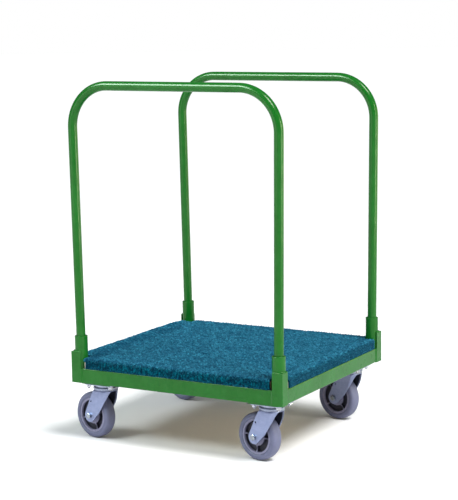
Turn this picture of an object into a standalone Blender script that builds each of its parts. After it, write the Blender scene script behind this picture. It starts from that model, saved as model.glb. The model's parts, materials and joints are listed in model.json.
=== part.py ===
"""Platform trolley: carpeted deck, welded steel frame, two lift-out hoops, four swivel casters.

Metres, +Z up. The origin is on the floor, at the centre of the whole trolley's box at rest.
+X runs along the frame's long side and +Y across it, and each hoop stands over a long side.
All four casters are swivelled the same way, with their wheels trailing towards -X.
"""

import math

import bmesh
import bpy
from mathutils import Matrix

# Running gap between two pieces that touch, and the overlap that a union needs
GAP = 0.0003
BITE = 0.001

# Frame: rails bent to a channel, mitred at the corners, with their open side facing in
FRAME_LENGTH = 0.8128
FRAME_WIDTH = 0.762
FRAME_BASE = 0.210
FRAME_CENTRE_X = 0.0243
RAIL_HEIGHT = 0.0508
RAIL_FLANGE = 0.0508
RAIL_WALL = 0.0032

# Angle-iron posts wrapped round the corners, and the round hoop sockets that stand inside them
POST_LEG = 0.0381
POST_WALL = 0.0032
POST_HEIGHT = 0.108
SOCKET_RADIUS = 0.022225
SOCKET_BORE_RADIUS = 0.01745
SOCKET_TOP = FRAME_BASE + 0.160
SOCKET_CHAMFER = 0.0012

# Deck: a plywood board with notched corners, carpet over its top and down its four sides
BOARD_THICKNESS = 0.0254
CARPET_THICKNESS = 0.009
CARPET_SETBACK_X = 0.0024
CARPET_SETBACK_Y = 0.0010
CARPET_EDGE_RADIUS = 0.006
NOTCH_X = 0.3575
NOTCH_Y = 0.3320
FLAP_CUTBACK = 0.009

# Hoops: one bent round tube each, with legs that spread slightly towards the top
TUBE_RADIUS = 0.015875
TUBE_WALL = 0.0021
HOOP_TOP = FRAME_BASE + 1.0093
HOOP_BEND_RADIUS = 0.1397
HOOP_SPLAY = 0.0124
BEND_STEPS = 7

# Casters
CASTER_INSET = 0.083
SWIVEL_ANGLE = math.radians(167)
CASTER_TRAIL = 0.053
PAD_SIZE = (0.1143, 0.1300)
PAD_THICKNESS = 0.0063
PLATE_SIZE = (0.1143, 0.1016)
PLATE_THICKNESS = 0.0060
PLATE_CORNER_RADIUS = 0.010
BOLT_SPACING = (0.089, 0.0762)
BOLT_HOLE_RADIUS = 0.0048
BOSS_RADIUS = 0.037
SWIVEL_BEARING_RADIUS = 0.0435
SWIVEL_BEARING_BORE = 0.014
SWIVEL_BEARING_HEIGHT = 0.0092
CROWN_TOP = 0.178
KINGPIN_RADIUS = 0.006
KINGPIN_HEAD_RADIUS = 0.011
KINGPIN_HEAD_HEIGHT = 0.0065

# Fork: a pressed plate. Its flat legs slant back to the axle, and in front they wrap round a nose
# that tapers downwards from the crown. Places are (distance back along the trail, height).
FORK_INNER = 0.027
FORK_WALL = 0.005
FORK_BEND_RADIUS = 0.009
NOSE_RADIUS = 0.042
NOSE_LOW = (0.0315, 0.113)
LEG_FLAT_FROM = -0.008
LEG_FRONT = [(-0.0400, 0.176), (-0.0340, 0.163), (-0.0260, 0.145), (-0.0145, 0.125)]
LEG_FRONT_FOOT = (0.0050, 0.0960)
LEG_REAR = [(0.0380, 0.162), (0.0290, 0.176)]
FORK_EYE_RADIUS = 0.023
LEG_HOLE_RADIUS = 0.0032
LEG_HOLE_PLACE = (0.047, 0.132)

# Wheel and its axle
WHEEL_STEPS = 24
WHEEL_RADIUS = 0.080
TREAD_HALF_WIDTH = 0.0225
TREAD_CROWN = 0.0083
TYRE_INNER_RADIUS = 0.0603
RIM_RADIUS = 0.060
RIM_HALF_WIDTH = 0.0195
RIM_OPENING_RADIUS = 0.053
WEB_HALF_WIDTH = 0.004
HUB_RADIUS = 0.019
HUB_HALF_WIDTH = 0.0235
HUB_DISC_RADIUS = 0.0305
HUB_DISC_HALF_WIDTH = 0.017
RIB_COUNT = 4
RIB_THICKNESS = 0.005
RIB_HALF_WIDTH = 0.0165
HUB_BORE_RADIUS = 0.0150
BEARING_RADIUS = 0.0147
BEARING_BORE = 0.0098
BUSHING_RADIUS = 0.0095
BUSHING_BORE = 0.0063
AXLE_RADIUS = 0.0060
AXLE_HEX_ACROSS_FLATS = 0.019
AXLE_HEAD_HEIGHT = 0.0075
AXLE_NUT_HEIGHT = 0.010
AXLE_TIP = 0.003

CORNERS = {
    "front_left": (-1, -1),
    "front_right": (1, -1),
    "back_right": (1, 1),
    "back_left": (-1, 1),
}

# How far each wheel has rolled round its axle at rest
WHEEL_TURN = {
    "front_left": math.radians(20),
    "front_right": math.radians(-3),
    "back_right": math.radians(38),
    "back_left": math.radians(62),
}

PAINT_GREEN = (0.045, 0.235, 0.055, 1.0)
CARPET_TEAL = (0.020, 0.130, 0.200, 1.0)
PLYWOOD = (0.560, 0.400, 0.230, 1.0)
ZINC = (0.520, 0.540, 0.600, 1.0)
RUBBER_GREY = (0.180, 0.180, 0.215, 1.0)
CORE_GREY = (0.240, 0.235, 0.285, 1.0)
BRONZE = (0.450, 0.330, 0.160, 1.0)


def clear_scene():
    for obj in list(bpy.data.objects):
        bpy.data.objects.remove(obj, do_unlink=True)


def make_collection(name, hidden=False):
    collection = bpy.data.collections.new(name)
    bpy.context.scene.collection.children.link(collection)
    collection.hide_render = hidden
    return collection


def make_material(name, colour, roughness, metallic=0.0):
    material = bpy.data.materials.new(name)
    material.use_nodes = True
    shader = material.node_tree.nodes["Principled BSDF"]
    shader.inputs["Base Color"].default_value = colour
    shader.inputs["Roughness"].default_value = roughness
    shader.inputs["Metallic"].default_value = metallic
    material.diffuse_color = colour
    return material


class Workshop:
    """Holds the two collections and the materials, and puts each new object in its place."""

    def __init__(self):
        self.parts = make_collection("platform_trolley")
        self.cutters = make_collection("cutters", hidden=True)
        self.paint = make_material("green_paint", PAINT_GREEN, 0.40)
        self.carpet = make_material("teal_carpet", CARPET_TEAL, 0.95)
        self.plywood = make_material("plywood", PLYWOOD, 0.70)
        self.zinc = make_material("zinc_plate", ZINC, 0.35, 0.85)
        self.rubber = make_material("grey_rubber", RUBBER_GREY, 0.60)
        self.core = make_material("grey_nylon", CORE_GREY, 0.45)
        self.bronze = make_material("bearing_bronze", BRONZE, 0.35, 0.90)

    def keep(self, obj, material, parent=None, location=(0, 0, 0), rotation=(0, 0, 0)):
        """Makes obj a finished part with this material, at a place given in its parent's frame."""
        self.parts.objects.link(obj)
        obj.data.materials.clear()
        obj.data.materials.append(material)
        return set_place(obj, parent, location, rotation)

    def helper(self, obj, parent=None, location=(0, 0, 0), rotation=(0, 0, 0)):
        """Makes obj a Boolean operand, which isn't a part."""
        self.cutters.objects.link(obj)
        obj.hide_render = True
        obj.display_type = "WIRE"
        return set_place(obj, parent, location, rotation)

    def empty(self, name, parent=None, location=(0, 0, 0), rotation=(0, 0, 0)):
        obj = bpy.data.objects.new(name, None)
        self.parts.objects.link(obj)
        return set_place(obj, parent, location, rotation)


def set_place(obj, parent, location, rotation):
    obj.parent = parent
    obj.location = location
    obj.rotation_euler = rotation
    return obj


def smooth_rounds(mesh):
    mesh.shade_smooth()
    mesh.set_sharp_from_angle(angle=math.radians(40))


def mesh_of_curve(curve, name):
    """The welded mesh that a curve makes."""
    guide = bpy.data.objects.new(name + "_guide", curve)
    bpy.context.scene.collection.objects.link(guide)
    evaluated = guide.evaluated_get(bpy.context.evaluated_depsgraph_get())
    mesh = bpy.data.meshes.new_from_object(evaluated)
    mesh.name = name
    bpy.data.objects.remove(guide, do_unlink=True)
    bm = bmesh.new()
    bm.from_mesh(mesh)
    bmesh.ops.remove_doubles(bm, verts=bm.verts, dist=0.00001)
    bmesh.ops.recalc_face_normals(bm, faces=bm.faces)
    bm.to_mesh(mesh)
    bm.free()
    return mesh


def outline_solid(name, loops, thickness):
    """A flat outline in local XY, with any holes as further loops, thickened about local Z = 0."""
    curve = bpy.data.curves.new(name, "CURVE")
    curve.dimensions = "2D"
    curve.fill_mode = "BOTH"
    curve.extrude = thickness / 2
    for loop in loops:
        spline = curve.splines.new("POLY")
        spline.points.add(len(loop) - 1)
        for point, (x, y) in zip(spline.points, loop):
            point.co = (x, y, 0, 1)
        spline.use_cyclic_u = True
    return bpy.data.objects.new(name, mesh_of_curve(curve, name))


def turned_solid(name, profile, steps, closed=True):
    """A profile of (radius, height) points turned about local Z, run down its outer side first."""
    bm = bmesh.new()
    points = [bm.verts.new((radius, 0, height)) for radius, height in profile]
    for first, second in zip(points, points[1:]):
        bm.edges.new((first, second))
    if closed:
        bm.edges.new((points[-1], points[0]))
    mesh = bpy.data.meshes.new(name)
    bm.to_mesh(mesh)
    bm.free()
    obj = bpy.data.objects.new(name, mesh)
    screw = obj.modifiers.new("turn", "SCREW")
    screw.steps = steps
    screw.render_steps = steps
    screw.use_merge_vertices = True
    screw.merge_threshold = 0.00001
    screw.use_smooth_shade = False
    return obj


def box_solid(name, size):
    bm = bmesh.new()
    bmesh.ops.create_cube(bm, size=1)
    bmesh.ops.scale(bm, vec=size, verts=bm.verts)
    mesh = bpy.data.meshes.new(name)
    bm.to_mesh(mesh)
    bm.free()
    return bpy.data.objects.new(name, mesh)


def rod_solid(name, radius, length, sides=12):
    bm = bmesh.new()
    bmesh.ops.create_cone(
        bm, cap_ends=True, segments=sides, radius1=radius, radius2=radius, depth=length
    )
    mesh = bpy.data.meshes.new(name)
    bm.to_mesh(mesh)
    bm.free()
    return bpy.data.objects.new(name, mesh)


def combine(obj, other, operation):
    modifier = obj.modifiers.new(other.name, "BOOLEAN")
    modifier.operation = operation
    modifier.object = other


def baked_mesh(obj, name):
    """The mesh that obj's modifiers make, for copies that share it. It removes obj."""
    bpy.context.view_layer.update()
    mesh = bpy.data.meshes.new_from_object(
        obj.evaluated_get(bpy.context.evaluated_depsgraph_get())
    )
    mesh.name = name
    smooth_rounds(mesh)
    bpy.data.objects.remove(obj, do_unlink=True)
    return mesh


def rectangle(width, depth):
    return [
        (-width / 2, -depth / 2),
        (width / 2, -depth / 2),
        (width / 2, depth / 2),
        (-width / 2, depth / 2),
    ]


def arc(centre, radius, start, end, steps):
    """Points along an arc, with both ends; angles in radians."""
    found = []
    for step in range(steps + 1):
        angle = start + (end - start) * step / steps
        found.append(
            (centre[0] + radius * math.cos(angle), centre[1] + radius * math.sin(angle))
        )
    return found


def circle(centre, radius, sides):
    return arc(centre, radius, 0, 2 * math.pi * (sides - 1) / sides, sides - 1)


def rounded_rectangle(width, depth, radius, steps=2):
    outline = []
    for turn, (sx, sy) in enumerate(((1, 1), (-1, 1), (-1, -1), (1, -1))):
        centre = (sx * (width / 2 - radius), sy * (depth / 2 - radius))
        start = turn * math.pi / 2
        outline += arc(centre, radius, start, start + math.pi / 2, steps)
    return outline


def four_holes(spacing, radius, sides=8):
    """The bolt holes of a caster's plate or pad."""
    return [
        circle((sx * spacing[0] / 2, sy * spacing[1] / 2), radius, sides)
        for sx in (-1, 1)
        for sy in (-1, 1)
    ]


# ---------------------------------------------------------------- frame


def channel_outline():
    """Section of a rail: its web at local X = 0 and its open side towards +X."""
    return [
        (0, 0),
        (RAIL_FLANGE, 0),
        (RAIL_FLANGE, RAIL_WALL),
        (RAIL_WALL, RAIL_WALL),
        (RAIL_WALL, RAIL_HEIGHT - RAIL_WALL),
        (RAIL_FLANGE, RAIL_HEIGHT - RAIL_WALL),
        (RAIL_FLANGE, RAIL_HEIGHT),
        (0, RAIL_HEIGHT),
    ]


def rail_mesh(name, length):
    """A channel along local Z whose ends are cut at 45 degrees, its web the longest side."""
    obj = outline_solid(name, [channel_outline()], length)
    bm = bmesh.new()
    bm.from_mesh(obj.data)
    for vertex in bm.verts:
        vertex.co.z -= math.copysign(vertex.co.x, vertex.co.z)
    bm.to_mesh(obj.data)
    bm.free()
    return obj


def build_rails(shop, base):
    """Four channels round the frame. The turn stands local Y up and points local X inwards."""
    inset = POST_WALL + GAP
    half_x = FRAME_LENGTH / 2 - inset
    half_y = FRAME_WIDTH / 2 - inset
    sides = {
        "rail_front": (2 * half_x, (0, -half_y), math.pi / 2),
        "rail_right": (2 * half_y, (half_x, 0), math.pi),
        "rail_back": (2 * half_x, (0, half_y), -math.pi / 2),
        "rail_left": (2 * half_y, (-half_x, 0), 0),
    }
    for name, (length, (x, y), heading) in sides.items():
        rail = rail_mesh(name, length - 2 * GAP)
        turn = (math.pi / 2, 0, heading)
        shop.keep(rail, shop.paint, base, (x, y, FRAME_BASE), turn)


def build_corners(shop, base):
    """An angle-iron post, a hoop socket inside it and a caster pad under the rails, four times."""
    angle = [
        (0, 0),
        (POST_LEG, 0),
        (POST_LEG, POST_WALL),
        (POST_WALL, POST_WALL),
        (POST_WALL, POST_LEG),
        (0, POST_LEG),
    ]
    bottom = FRAME_BASE + RAIL_HEIGHT + GAP
    socket_profile = [
        (SOCKET_RADIUS - SOCKET_CHAMFER, SOCKET_TOP - bottom),
        (SOCKET_RADIUS, SOCKET_TOP - bottom - SOCKET_CHAMFER),
        (SOCKET_RADIUS, 0),
        (SOCKET_BORE_RADIUS, 0),
        (SOCKET_BORE_RADIUS, SOCKET_TOP - bottom),
    ]
    headings = {
        "front_left": 0,
        "front_right": math.pi / 2,
        "back_right": math.pi,
        "back_left": -math.pi / 2,
    }
    socket_mesh = turned_mesh(shop, "hoop_socket", socket_profile, 16)
    pad_loops = [rectangle(*PAD_SIZE), *four_holes(BOLT_SPACING, BOLT_HOLE_RADIUS)]
    for corner, (sx, sy) in CORNERS.items():
        post = outline_solid("corner_post_" + corner, [angle], POST_HEIGHT)
        post_place = (sx * FRAME_LENGTH / 2, sy * FRAME_WIDTH / 2, FRAME_BASE + POST_HEIGHT / 2)
        shop.keep(post, shop.paint, base, post_place, (0, 0, headings[corner]))

        socket = bpy.data.objects.new("hoop_socket_" + corner, socket_mesh)
        socket_x, socket_y = socket_centre()
        shop.keep(socket, shop.paint, base, (sx * socket_x, sy * socket_y, bottom))

        pad = outline_solid("caster_pad_" + corner, pad_loops, PAD_THICKNESS)
        kingpin_x, kingpin_y = kingpin_place(sx, sy)
        pad_z = FRAME_BASE - GAP - PAD_THICKNESS / 2
        shop.keep(pad, shop.paint, base, (kingpin_x, kingpin_y, pad_z))


def socket_centre():
    """Distance of a hoop socket's axis from the frame's middle, along X and along Y."""
    inset = POST_WALL + GAP + SOCKET_RADIUS
    return FRAME_LENGTH / 2 - inset, FRAME_WIDTH / 2 - inset


# ---------------------------------------------------------------- deck


def notched_slab(name, half_x, half_y, thickness):
    """A slab about local Z = 0 with a square notch at each corner, clear of posts and sockets."""
    bm = bmesh.new()
    bmesh.ops.create_grid(bm, x_segments=3, y_segments=3, size=1)
    for vertex in bm.verts:
        reach_x = half_x if abs(vertex.co.x) > 0.9 else NOTCH_X
        reach_y = half_y if abs(vertex.co.y) > 0.9 else NOTCH_Y
        vertex.co.x = math.copysign(reach_x, vertex.co.x)
        vertex.co.y = math.copysign(reach_y, vertex.co.y)
        vertex.co.z = -thickness / 2
    corner_cells = []
    for face in bm.faces:
        middle = face.calc_center_median()
        if abs(middle.x) > NOTCH_X and abs(middle.y) > NOTCH_Y:
            corner_cells.append(face)
    bmesh.ops.delete(bm, geom=corner_cells, context="FACES")
    made = bmesh.ops.extrude_face_region(bm, geom=bm.faces[:])["geom"]
    raised = [item for item in made if isinstance(item, bmesh.types.BMVert)]
    bmesh.ops.translate(bm, vec=(0, 0, thickness), verts=raised)
    bmesh.ops.recalc_face_normals(bm, faces=bm.faces)
    mesh = bpy.data.meshes.new(name)
    bm.to_mesh(mesh)
    bm.free()
    return bpy.data.objects.new(name, mesh)


def build_deck(shop, base):
    """The board, and the carpet as one shell over its top and sides, open underneath."""
    half_x = FRAME_LENGTH / 2 - CARPET_SETBACK_X
    half_y = FRAME_WIDTH / 2 - CARPET_SETBACK_Y
    board_x = half_x - CARPET_THICKNESS
    board_y = half_y - CARPET_THICKNESS
    board_bottom = FRAME_BASE + RAIL_HEIGHT + GAP
    board_top = board_bottom + BOARD_THICKNESS

    board = notched_slab("deck_board", board_x - GAP, board_y - GAP, BOARD_THICKNESS)
    shop.keep(board, shop.plywood, base, (0, 0, board_bottom + BOARD_THICKNESS / 2))

    depth = BOARD_THICKNESS + GAP + CARPET_THICKNESS
    carpet = notched_slab("deck_carpet", half_x, half_y, depth)
    round_top_edges(carpet, depth / 2)
    shop.keep(carpet, shop.carpet, base, (0, 0, board_bottom + depth / 2))

    hollow_top = board_top + GAP
    hollow_depth = BOARD_THICKNESS + 2 * BITE
    hollow_z = hollow_top - hollow_depth / 2
    hollow = box_solid("board_space", (2 * board_x, 2 * board_y, hollow_depth))
    combine(carpet, shop.helper(hollow, base, (0, 0, hollow_z)), "DIFFERENCE")
    for corner, (sx, sy) in CORNERS.items():
        reach_x = FRAME_LENGTH / 2 - (NOTCH_X - FLAP_CUTBACK)
        reach_y = FRAME_WIDTH / 2 - (NOTCH_Y - FLAP_CUTBACK)
        trim = box_solid("flap_trim_" + corner, (reach_x, reach_y, hollow_depth))
        place = (
            sx * (FRAME_LENGTH / 2 - reach_x / 2),
            sy * (FRAME_WIDTH / 2 - reach_y / 2),
            hollow_z,
        )
        combine(carpet, shop.helper(trim, base, place), "DIFFERENCE")


def round_top_edges(obj, top):
    """Rounds the edges round a flat solid's upper face."""
    bm = bmesh.new()
    bm.from_mesh(obj.data)
    edges = [
        edge
        for edge in bm.edges
        if all(vertex.co.z > top - BITE for vertex in edge.verts)
        and len(edge.link_faces) == 2
        and edge.calc_face_angle() > 1
    ]
    bmesh.ops.bevel(
        bm, geom=edges, offset=CARPET_EDGE_RADIUS, segments=2, profile=0.5, affect="EDGES"
    )
    bm.to_mesh(obj.data)
    bm.free()


# ---------------------------------------------------------------- hoops


def hoop_leg_x(height):
    """Distance of a hoop leg's axis from the hoop's middle at this height above the floor."""
    socket_middle = (FRAME_BASE + RAIL_HEIGHT + SOCKET_TOP) / 2
    return socket_centre()[0] + HOOP_SPLAY * (height - socket_middle)


def hoop_path():
    """Centreline of a hoop in its own XZ plane, from the right leg's foot to the left leg's."""
    lean = math.atan(HOOP_SPLAY)
    foot = FRAME_BASE + RAIL_HEIGHT + GAP
    bend_start = HOOP_TOP - HOOP_BEND_RADIUS * (1 + math.sin(lean))
    centre_x = hoop_leg_x(bend_start) - HOOP_BEND_RADIUS * math.cos(lean)
    centre = (centre_x, HOOP_TOP - HOOP_BEND_RADIUS)
    right = [(hoop_leg_x(foot), foot)]
    right += arc(centre, HOOP_BEND_RADIUS, -lean, math.pi / 2, BEND_STEPS)
    return right + [(-x, z) for x, z in reversed(right)]


def build_hoops(shop, base):
    path = hoop_path()
    for name, side in (("hoop_front", -1), ("hoop_back", 1)):
        curve = bpy.data.curves.new(name, "CURVE")
        curve.dimensions = "3D"
        curve.bevel_depth = TUBE_RADIUS
        curve.bevel_resolution = 4
        spline = curve.splines.new("POLY")
        spline.points.add(len(path) - 1)
        for point, (x, z) in zip(spline.points, path):
            point.co = (x, 0, z, 1)
        hoop = bpy.data.objects.new(name, mesh_of_curve(curve, name))
        wall = hoop.modifiers.new("tube_wall", "SOLIDIFY")
        wall.thickness = TUBE_WALL
        wall.offset = -1
        smooth_rounds(hoop.data)
        shop.keep(hoop, shop.paint, base, (0, side * socket_centre()[1], 0))


# ---------------------------------------------------------------- casters


def kingpin_place(sx, sy):
    return (
        sx * (FRAME_LENGTH / 2 - CASTER_INSET),
        sy * (FRAME_WIDTH / 2 - CASTER_INSET),
    )


def plate_mesh(shop):
    """Top plate with its round raceway boss underneath. Local Z = 0 is the plate's top."""
    loops = [rounded_rectangle(*PLATE_SIZE, PLATE_CORNER_RADIUS)]
    loops += four_holes(BOLT_SPACING, BOLT_HOLE_RADIUS)
    slab = outline_solid("plate", loops, PLATE_THICKNESS)
    for vertex in slab.data.vertices:
        vertex.co.z -= PLATE_THICKNESS / 2
    shop.parts.objects.link(slab)
    boss_bottom = CROWN_TOP + SWIVEL_BEARING_HEIGHT + 2 * GAP - plate_top()
    boss_profile = [
        (0, -BITE),
        (BOSS_RADIUS, -BITE),
        (BOSS_RADIUS, boss_bottom + BITE),
        (BOSS_RADIUS - BITE, boss_bottom),
        (0, boss_bottom),
    ]
    boss = shop.helper(turned_solid("boss", boss_profile, 20, closed=False))
    bore = shop.helper(rod_solid("kingpin_bore", KINGPIN_RADIUS + GAP, 0.06))
    combine(slab, boss, "UNION")
    combine(slab, bore, "DIFFERENCE")
    mesh = baked_mesh(slab, "top_plate")
    for helper in (boss, bore):
        bpy.data.objects.remove(helper, do_unlink=True)
    return mesh


def plate_top():
    return FRAME_BASE - PAD_THICKNESS - 2 * GAP


def tangent_angle(centre, radius, point, side):
    """Angle, seen from the centre, where a line from the point touches the circle."""
    dx, dy = point[0] - centre[0], point[1] - centre[1]
    return math.atan2(dy, dx) + side * math.acos(radius / math.hypot(dx, dy))


def leg_outline():
    """Side view of the fork: X runs back along the trail, Y is height above the floor."""
    axle = (CASTER_TRAIL, WHEEL_RADIUS)
    start = tangent_angle(axle, FORK_EYE_RADIUS, LEG_FRONT_FOOT, 1)
    end = tangent_angle(axle, FORK_EYE_RADIUS, LEG_REAR[0], -1)
    eye = arc(axle, FORK_EYE_RADIUS, start, end + 2 * math.pi, 9)
    front_top = (LEG_FRONT[0][0] - BITE, CROWN_TOP + BITE)
    rear_top = (LEG_REAR[-1][0], CROWN_TOP + BITE)
    return [front_top, *LEG_FRONT, LEG_FRONT_FOOT, *eye, *LEG_REAR, rear_top]


def fork_block(shop, name, inset, foot):
    """The space within the fork's outer surface or, with its wall as the inset, its inner one."""
    half = FORK_INNER + FORK_WALL - inset
    top = CROWN_TOP - inset
    bend = FORK_BEND_RADIUS - inset
    right = [(half, foot), *arc((half - bend, top - bend), bend, 0, math.pi / 2, 3)]
    section = right + [(-x, z) for x, z in reversed(right)]
    block = shop.helper(outline_solid(name, [section], 0.24))
    block.rotation_euler = (math.pi / 2, 0, math.pi / 2)

    low_radius, low_height = NOSE_LOW
    taper = (NOSE_RADIUS - low_radius) / (CROWN_TOP - low_height)
    nose_profile = [
        (0, CROWN_TOP + BITE),
        (NOSE_RADIUS + BITE * taper - inset, CROWN_TOP + BITE),
        (low_radius + (foot - low_height) * taper - inset, foot - BITE),
        (0, foot - BITE),
    ]
    nose = shop.helper(turned_solid(name + "_nose", nose_profile, 24, closed=False))
    rear = shop.helper(box_solid(name + "_rear", (0.1, 0.1, 0.2)))
    rear.location = (0.05 + LEG_FLAT_FROM, 0, 0.1 + foot - 2 * BITE)
    combine(nose, rear, "UNION")
    combine(block, nose, "INTERSECT")
    return [block, nose, rear]


def fork_mesh(shop):
    """The pressed plate cut to the legs' side view, in the caster's frame."""
    low = WHEEL_RADIUS - 2 * FORK_EYE_RADIUS
    outside = fork_block(shop, "fork_outside", 0, low)
    inside = fork_block(shop, "fork_inside", FORK_WALL, low - 3 * BITE)
    axle = (CASTER_TRAIL, WHEEL_RADIUS)
    loops = [leg_outline(), circle(axle, AXLE_RADIUS + GAP, 12)]
    loops.append(circle(LEG_HOLE_PLACE, LEG_HOLE_RADIUS, 8))
    bore = shop.helper(rod_solid("crown_bore", KINGPIN_RADIUS + GAP, 0.04))
    bore.location = (0, 0, CROWN_TOP)

    fork = outline_solid("fork", loops, 0.1)
    shop.parts.objects.link(fork)
    set_place(fork, None, (0, 0, 0), (math.pi / 2, 0, 0))
    combine(fork, outside[0], "INTERSECT")
    combine(fork, inside[0], "DIFFERENCE")
    combine(fork, bore, "DIFFERENCE")
    mesh = baked_mesh(fork, "fork")
    mesh.transform(Matrix.Rotation(math.pi / 2, 4, "X"))
    for helper in [*outside, *inside, bore]:
        bpy.data.objects.remove(helper, do_unlink=True)
    return mesh


def hex_radius():
    return AXLE_HEX_ACROSS_FLATS / math.sqrt(3)


def axle_bolt_mesh(shop):
    """Bolt along local Z through the fork: hexagon head at +Z, bare thread past the nut at -Z."""
    face = FORK_INNER + FORK_WALL + GAP
    tip = face + AXLE_NUT_HEIGHT + AXLE_TIP
    shank = rod_solid("axle_shank", AXLE_RADIUS, face + tip + BITE)
    for vertex in shank.data.vertices:
        vertex.co.z += (face + BITE - tip) / 2
    shop.parts.objects.link(shank)
    head = shop.helper(rod_solid("axle_head", hex_radius(), AXLE_HEAD_HEIGHT, 6))
    head.location = (0, 0, face + AXLE_HEAD_HEIGHT / 2)
    combine(shank, head, "UNION")
    mesh = baked_mesh(shank, "axle_bolt")
    bpy.data.objects.remove(head, do_unlink=True)
    return mesh


def tyre_profile():
    """Crowned tread from the +Z face to the -Z face, then back along the tyre's seat."""
    tread = []
    for step in range(9):
        across = 1 - step / 4
        radius = WHEEL_RADIUS - TREAD_CROWN * across**4
        tread.append((radius, TREAD_HALF_WIDTH * across))
    shoulder = (0.064, TREAD_HALF_WIDTH)
    seat = (TYRE_INNER_RADIUS, RIM_HALF_WIDTH + GAP)
    low_shoulder = (shoulder[0], -shoulder[1])
    low_seat = (seat[0], -seat[1])
    return [seat, shoulder, *tread, low_shoulder, low_seat]


def core_profile():
    """Rim, thin web, hub disc and long hub of the wheel's core, as one turned section."""
    upper = [
        (HUB_BORE_RADIUS, HUB_HALF_WIDTH),
        (HUB_RADIUS, HUB_HALF_WIDTH),
        (HUB_RADIUS, HUB_DISC_HALF_WIDTH),
        (HUB_DISC_RADIUS, HUB_DISC_HALF_WIDTH),
        (HUB_DISC_RADIUS + BITE, WEB_HALF_WIDTH),
        (RIM_OPENING_RADIUS - 0.002, WEB_HALF_WIDTH),
        (RIM_OPENING_RADIUS, RIM_HALF_WIDTH),
        (RIM_RADIUS, RIM_HALF_WIDTH),
    ]
    return upper + [(radius, -height) for radius, height in reversed(upper)]


def core_mesh(shop):
    """The turned core with straight ribs from hub to rim on both faces."""
    core = turned_solid("core", core_profile(), WHEEL_STEPS)
    shop.parts.objects.link(core)
    inner = HUB_DISC_RADIUS - BITE
    outer = RIM_OPENING_RADIUS + BITE
    bm = bmesh.new()
    for index in range(RIB_COUNT):
        made = bmesh.ops.create_cube(bm, size=1)["verts"]
        bmesh.ops.scale(bm, vec=(outer - inner, RIB_THICKNESS, 2 * RIB_HALF_WIDTH), verts=made)
        bmesh.ops.translate(bm, vec=((outer + inner) / 2, 0, 0), verts=made)
        turn = Matrix.Rotation(2 * math.pi * index / RIB_COUNT, 3, "Z")
        bmesh.ops.rotate(bm, matrix=turn, verts=made)
    mesh = bpy.data.meshes.new("ribs")
    bm.to_mesh(mesh)
    bm.free()
    ribs = shop.helper(bpy.data.objects.new("ribs", mesh))
    combine(core, ribs, "UNION")
    mesh = baked_mesh(core, "wheel_core")
    bpy.data.objects.remove(ribs, do_unlink=True)
    return mesh


def ring_profile(outer, inner, half_height):
    return [
        (outer, half_height),
        (outer, -half_height),
        (inner, -half_height),
        (inner, half_height),
    ]


def swivel_bearing_profile():
    """Raceway ring with a rounded upper rim. Local Z = 0 is its underside."""
    top = SWIVEL_BEARING_HEIGHT
    rim = arc((SWIVEL_BEARING_RADIUS - 0.004, top - 0.004), 0.004, math.pi / 2, 0, 2)
    return [*rim, (SWIVEL_BEARING_RADIUS, 0), (SWIVEL_BEARING_BORE, 0), (SWIVEL_BEARING_BORE, top)]


def kingpin_profile():
    """Riveted pin with its wide head below the fork's crown, in height above the floor."""
    head_top = CROWN_TOP - FORK_WALL - GAP
    top = plate_top() - BITE
    return [
        (0, top),
        (KINGPIN_RADIUS, top),
        (KINGPIN_RADIUS, head_top),
        (KINGPIN_HEAD_RADIUS, head_top),
        (KINGPIN_HEAD_RADIUS, head_top - KINGPIN_HEAD_HEIGHT + BITE),
        (KINGPIN_HEAD_RADIUS - BITE, head_top - KINGPIN_HEAD_HEIGHT),
        (0, head_top - KINGPIN_HEAD_HEIGHT),
    ]


def turned_mesh(shop, name, profile, steps, closed=True):
    obj = turned_solid(name, profile, steps, closed)
    shop.parts.objects.link(obj)
    return baked_mesh(obj, name)


def nut_mesh(shop):
    """Hexagon nut on the axle bolt, against the fork's leg at local -Z."""
    loops = [circle((0, 0), hex_radius(), 6), circle((0, 0), AXLE_RADIUS + GAP, 12)]
    nut = outline_solid("nut", loops, AXLE_NUT_HEIGHT)
    face = FORK_INNER + FORK_WALL + GAP
    for vertex in nut.data.vertices:
        vertex.co.z -= face + AXLE_NUT_HEIGHT / 2
    shop.parts.objects.link(nut)
    return baked_mesh(nut, "axle_nut")


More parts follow.
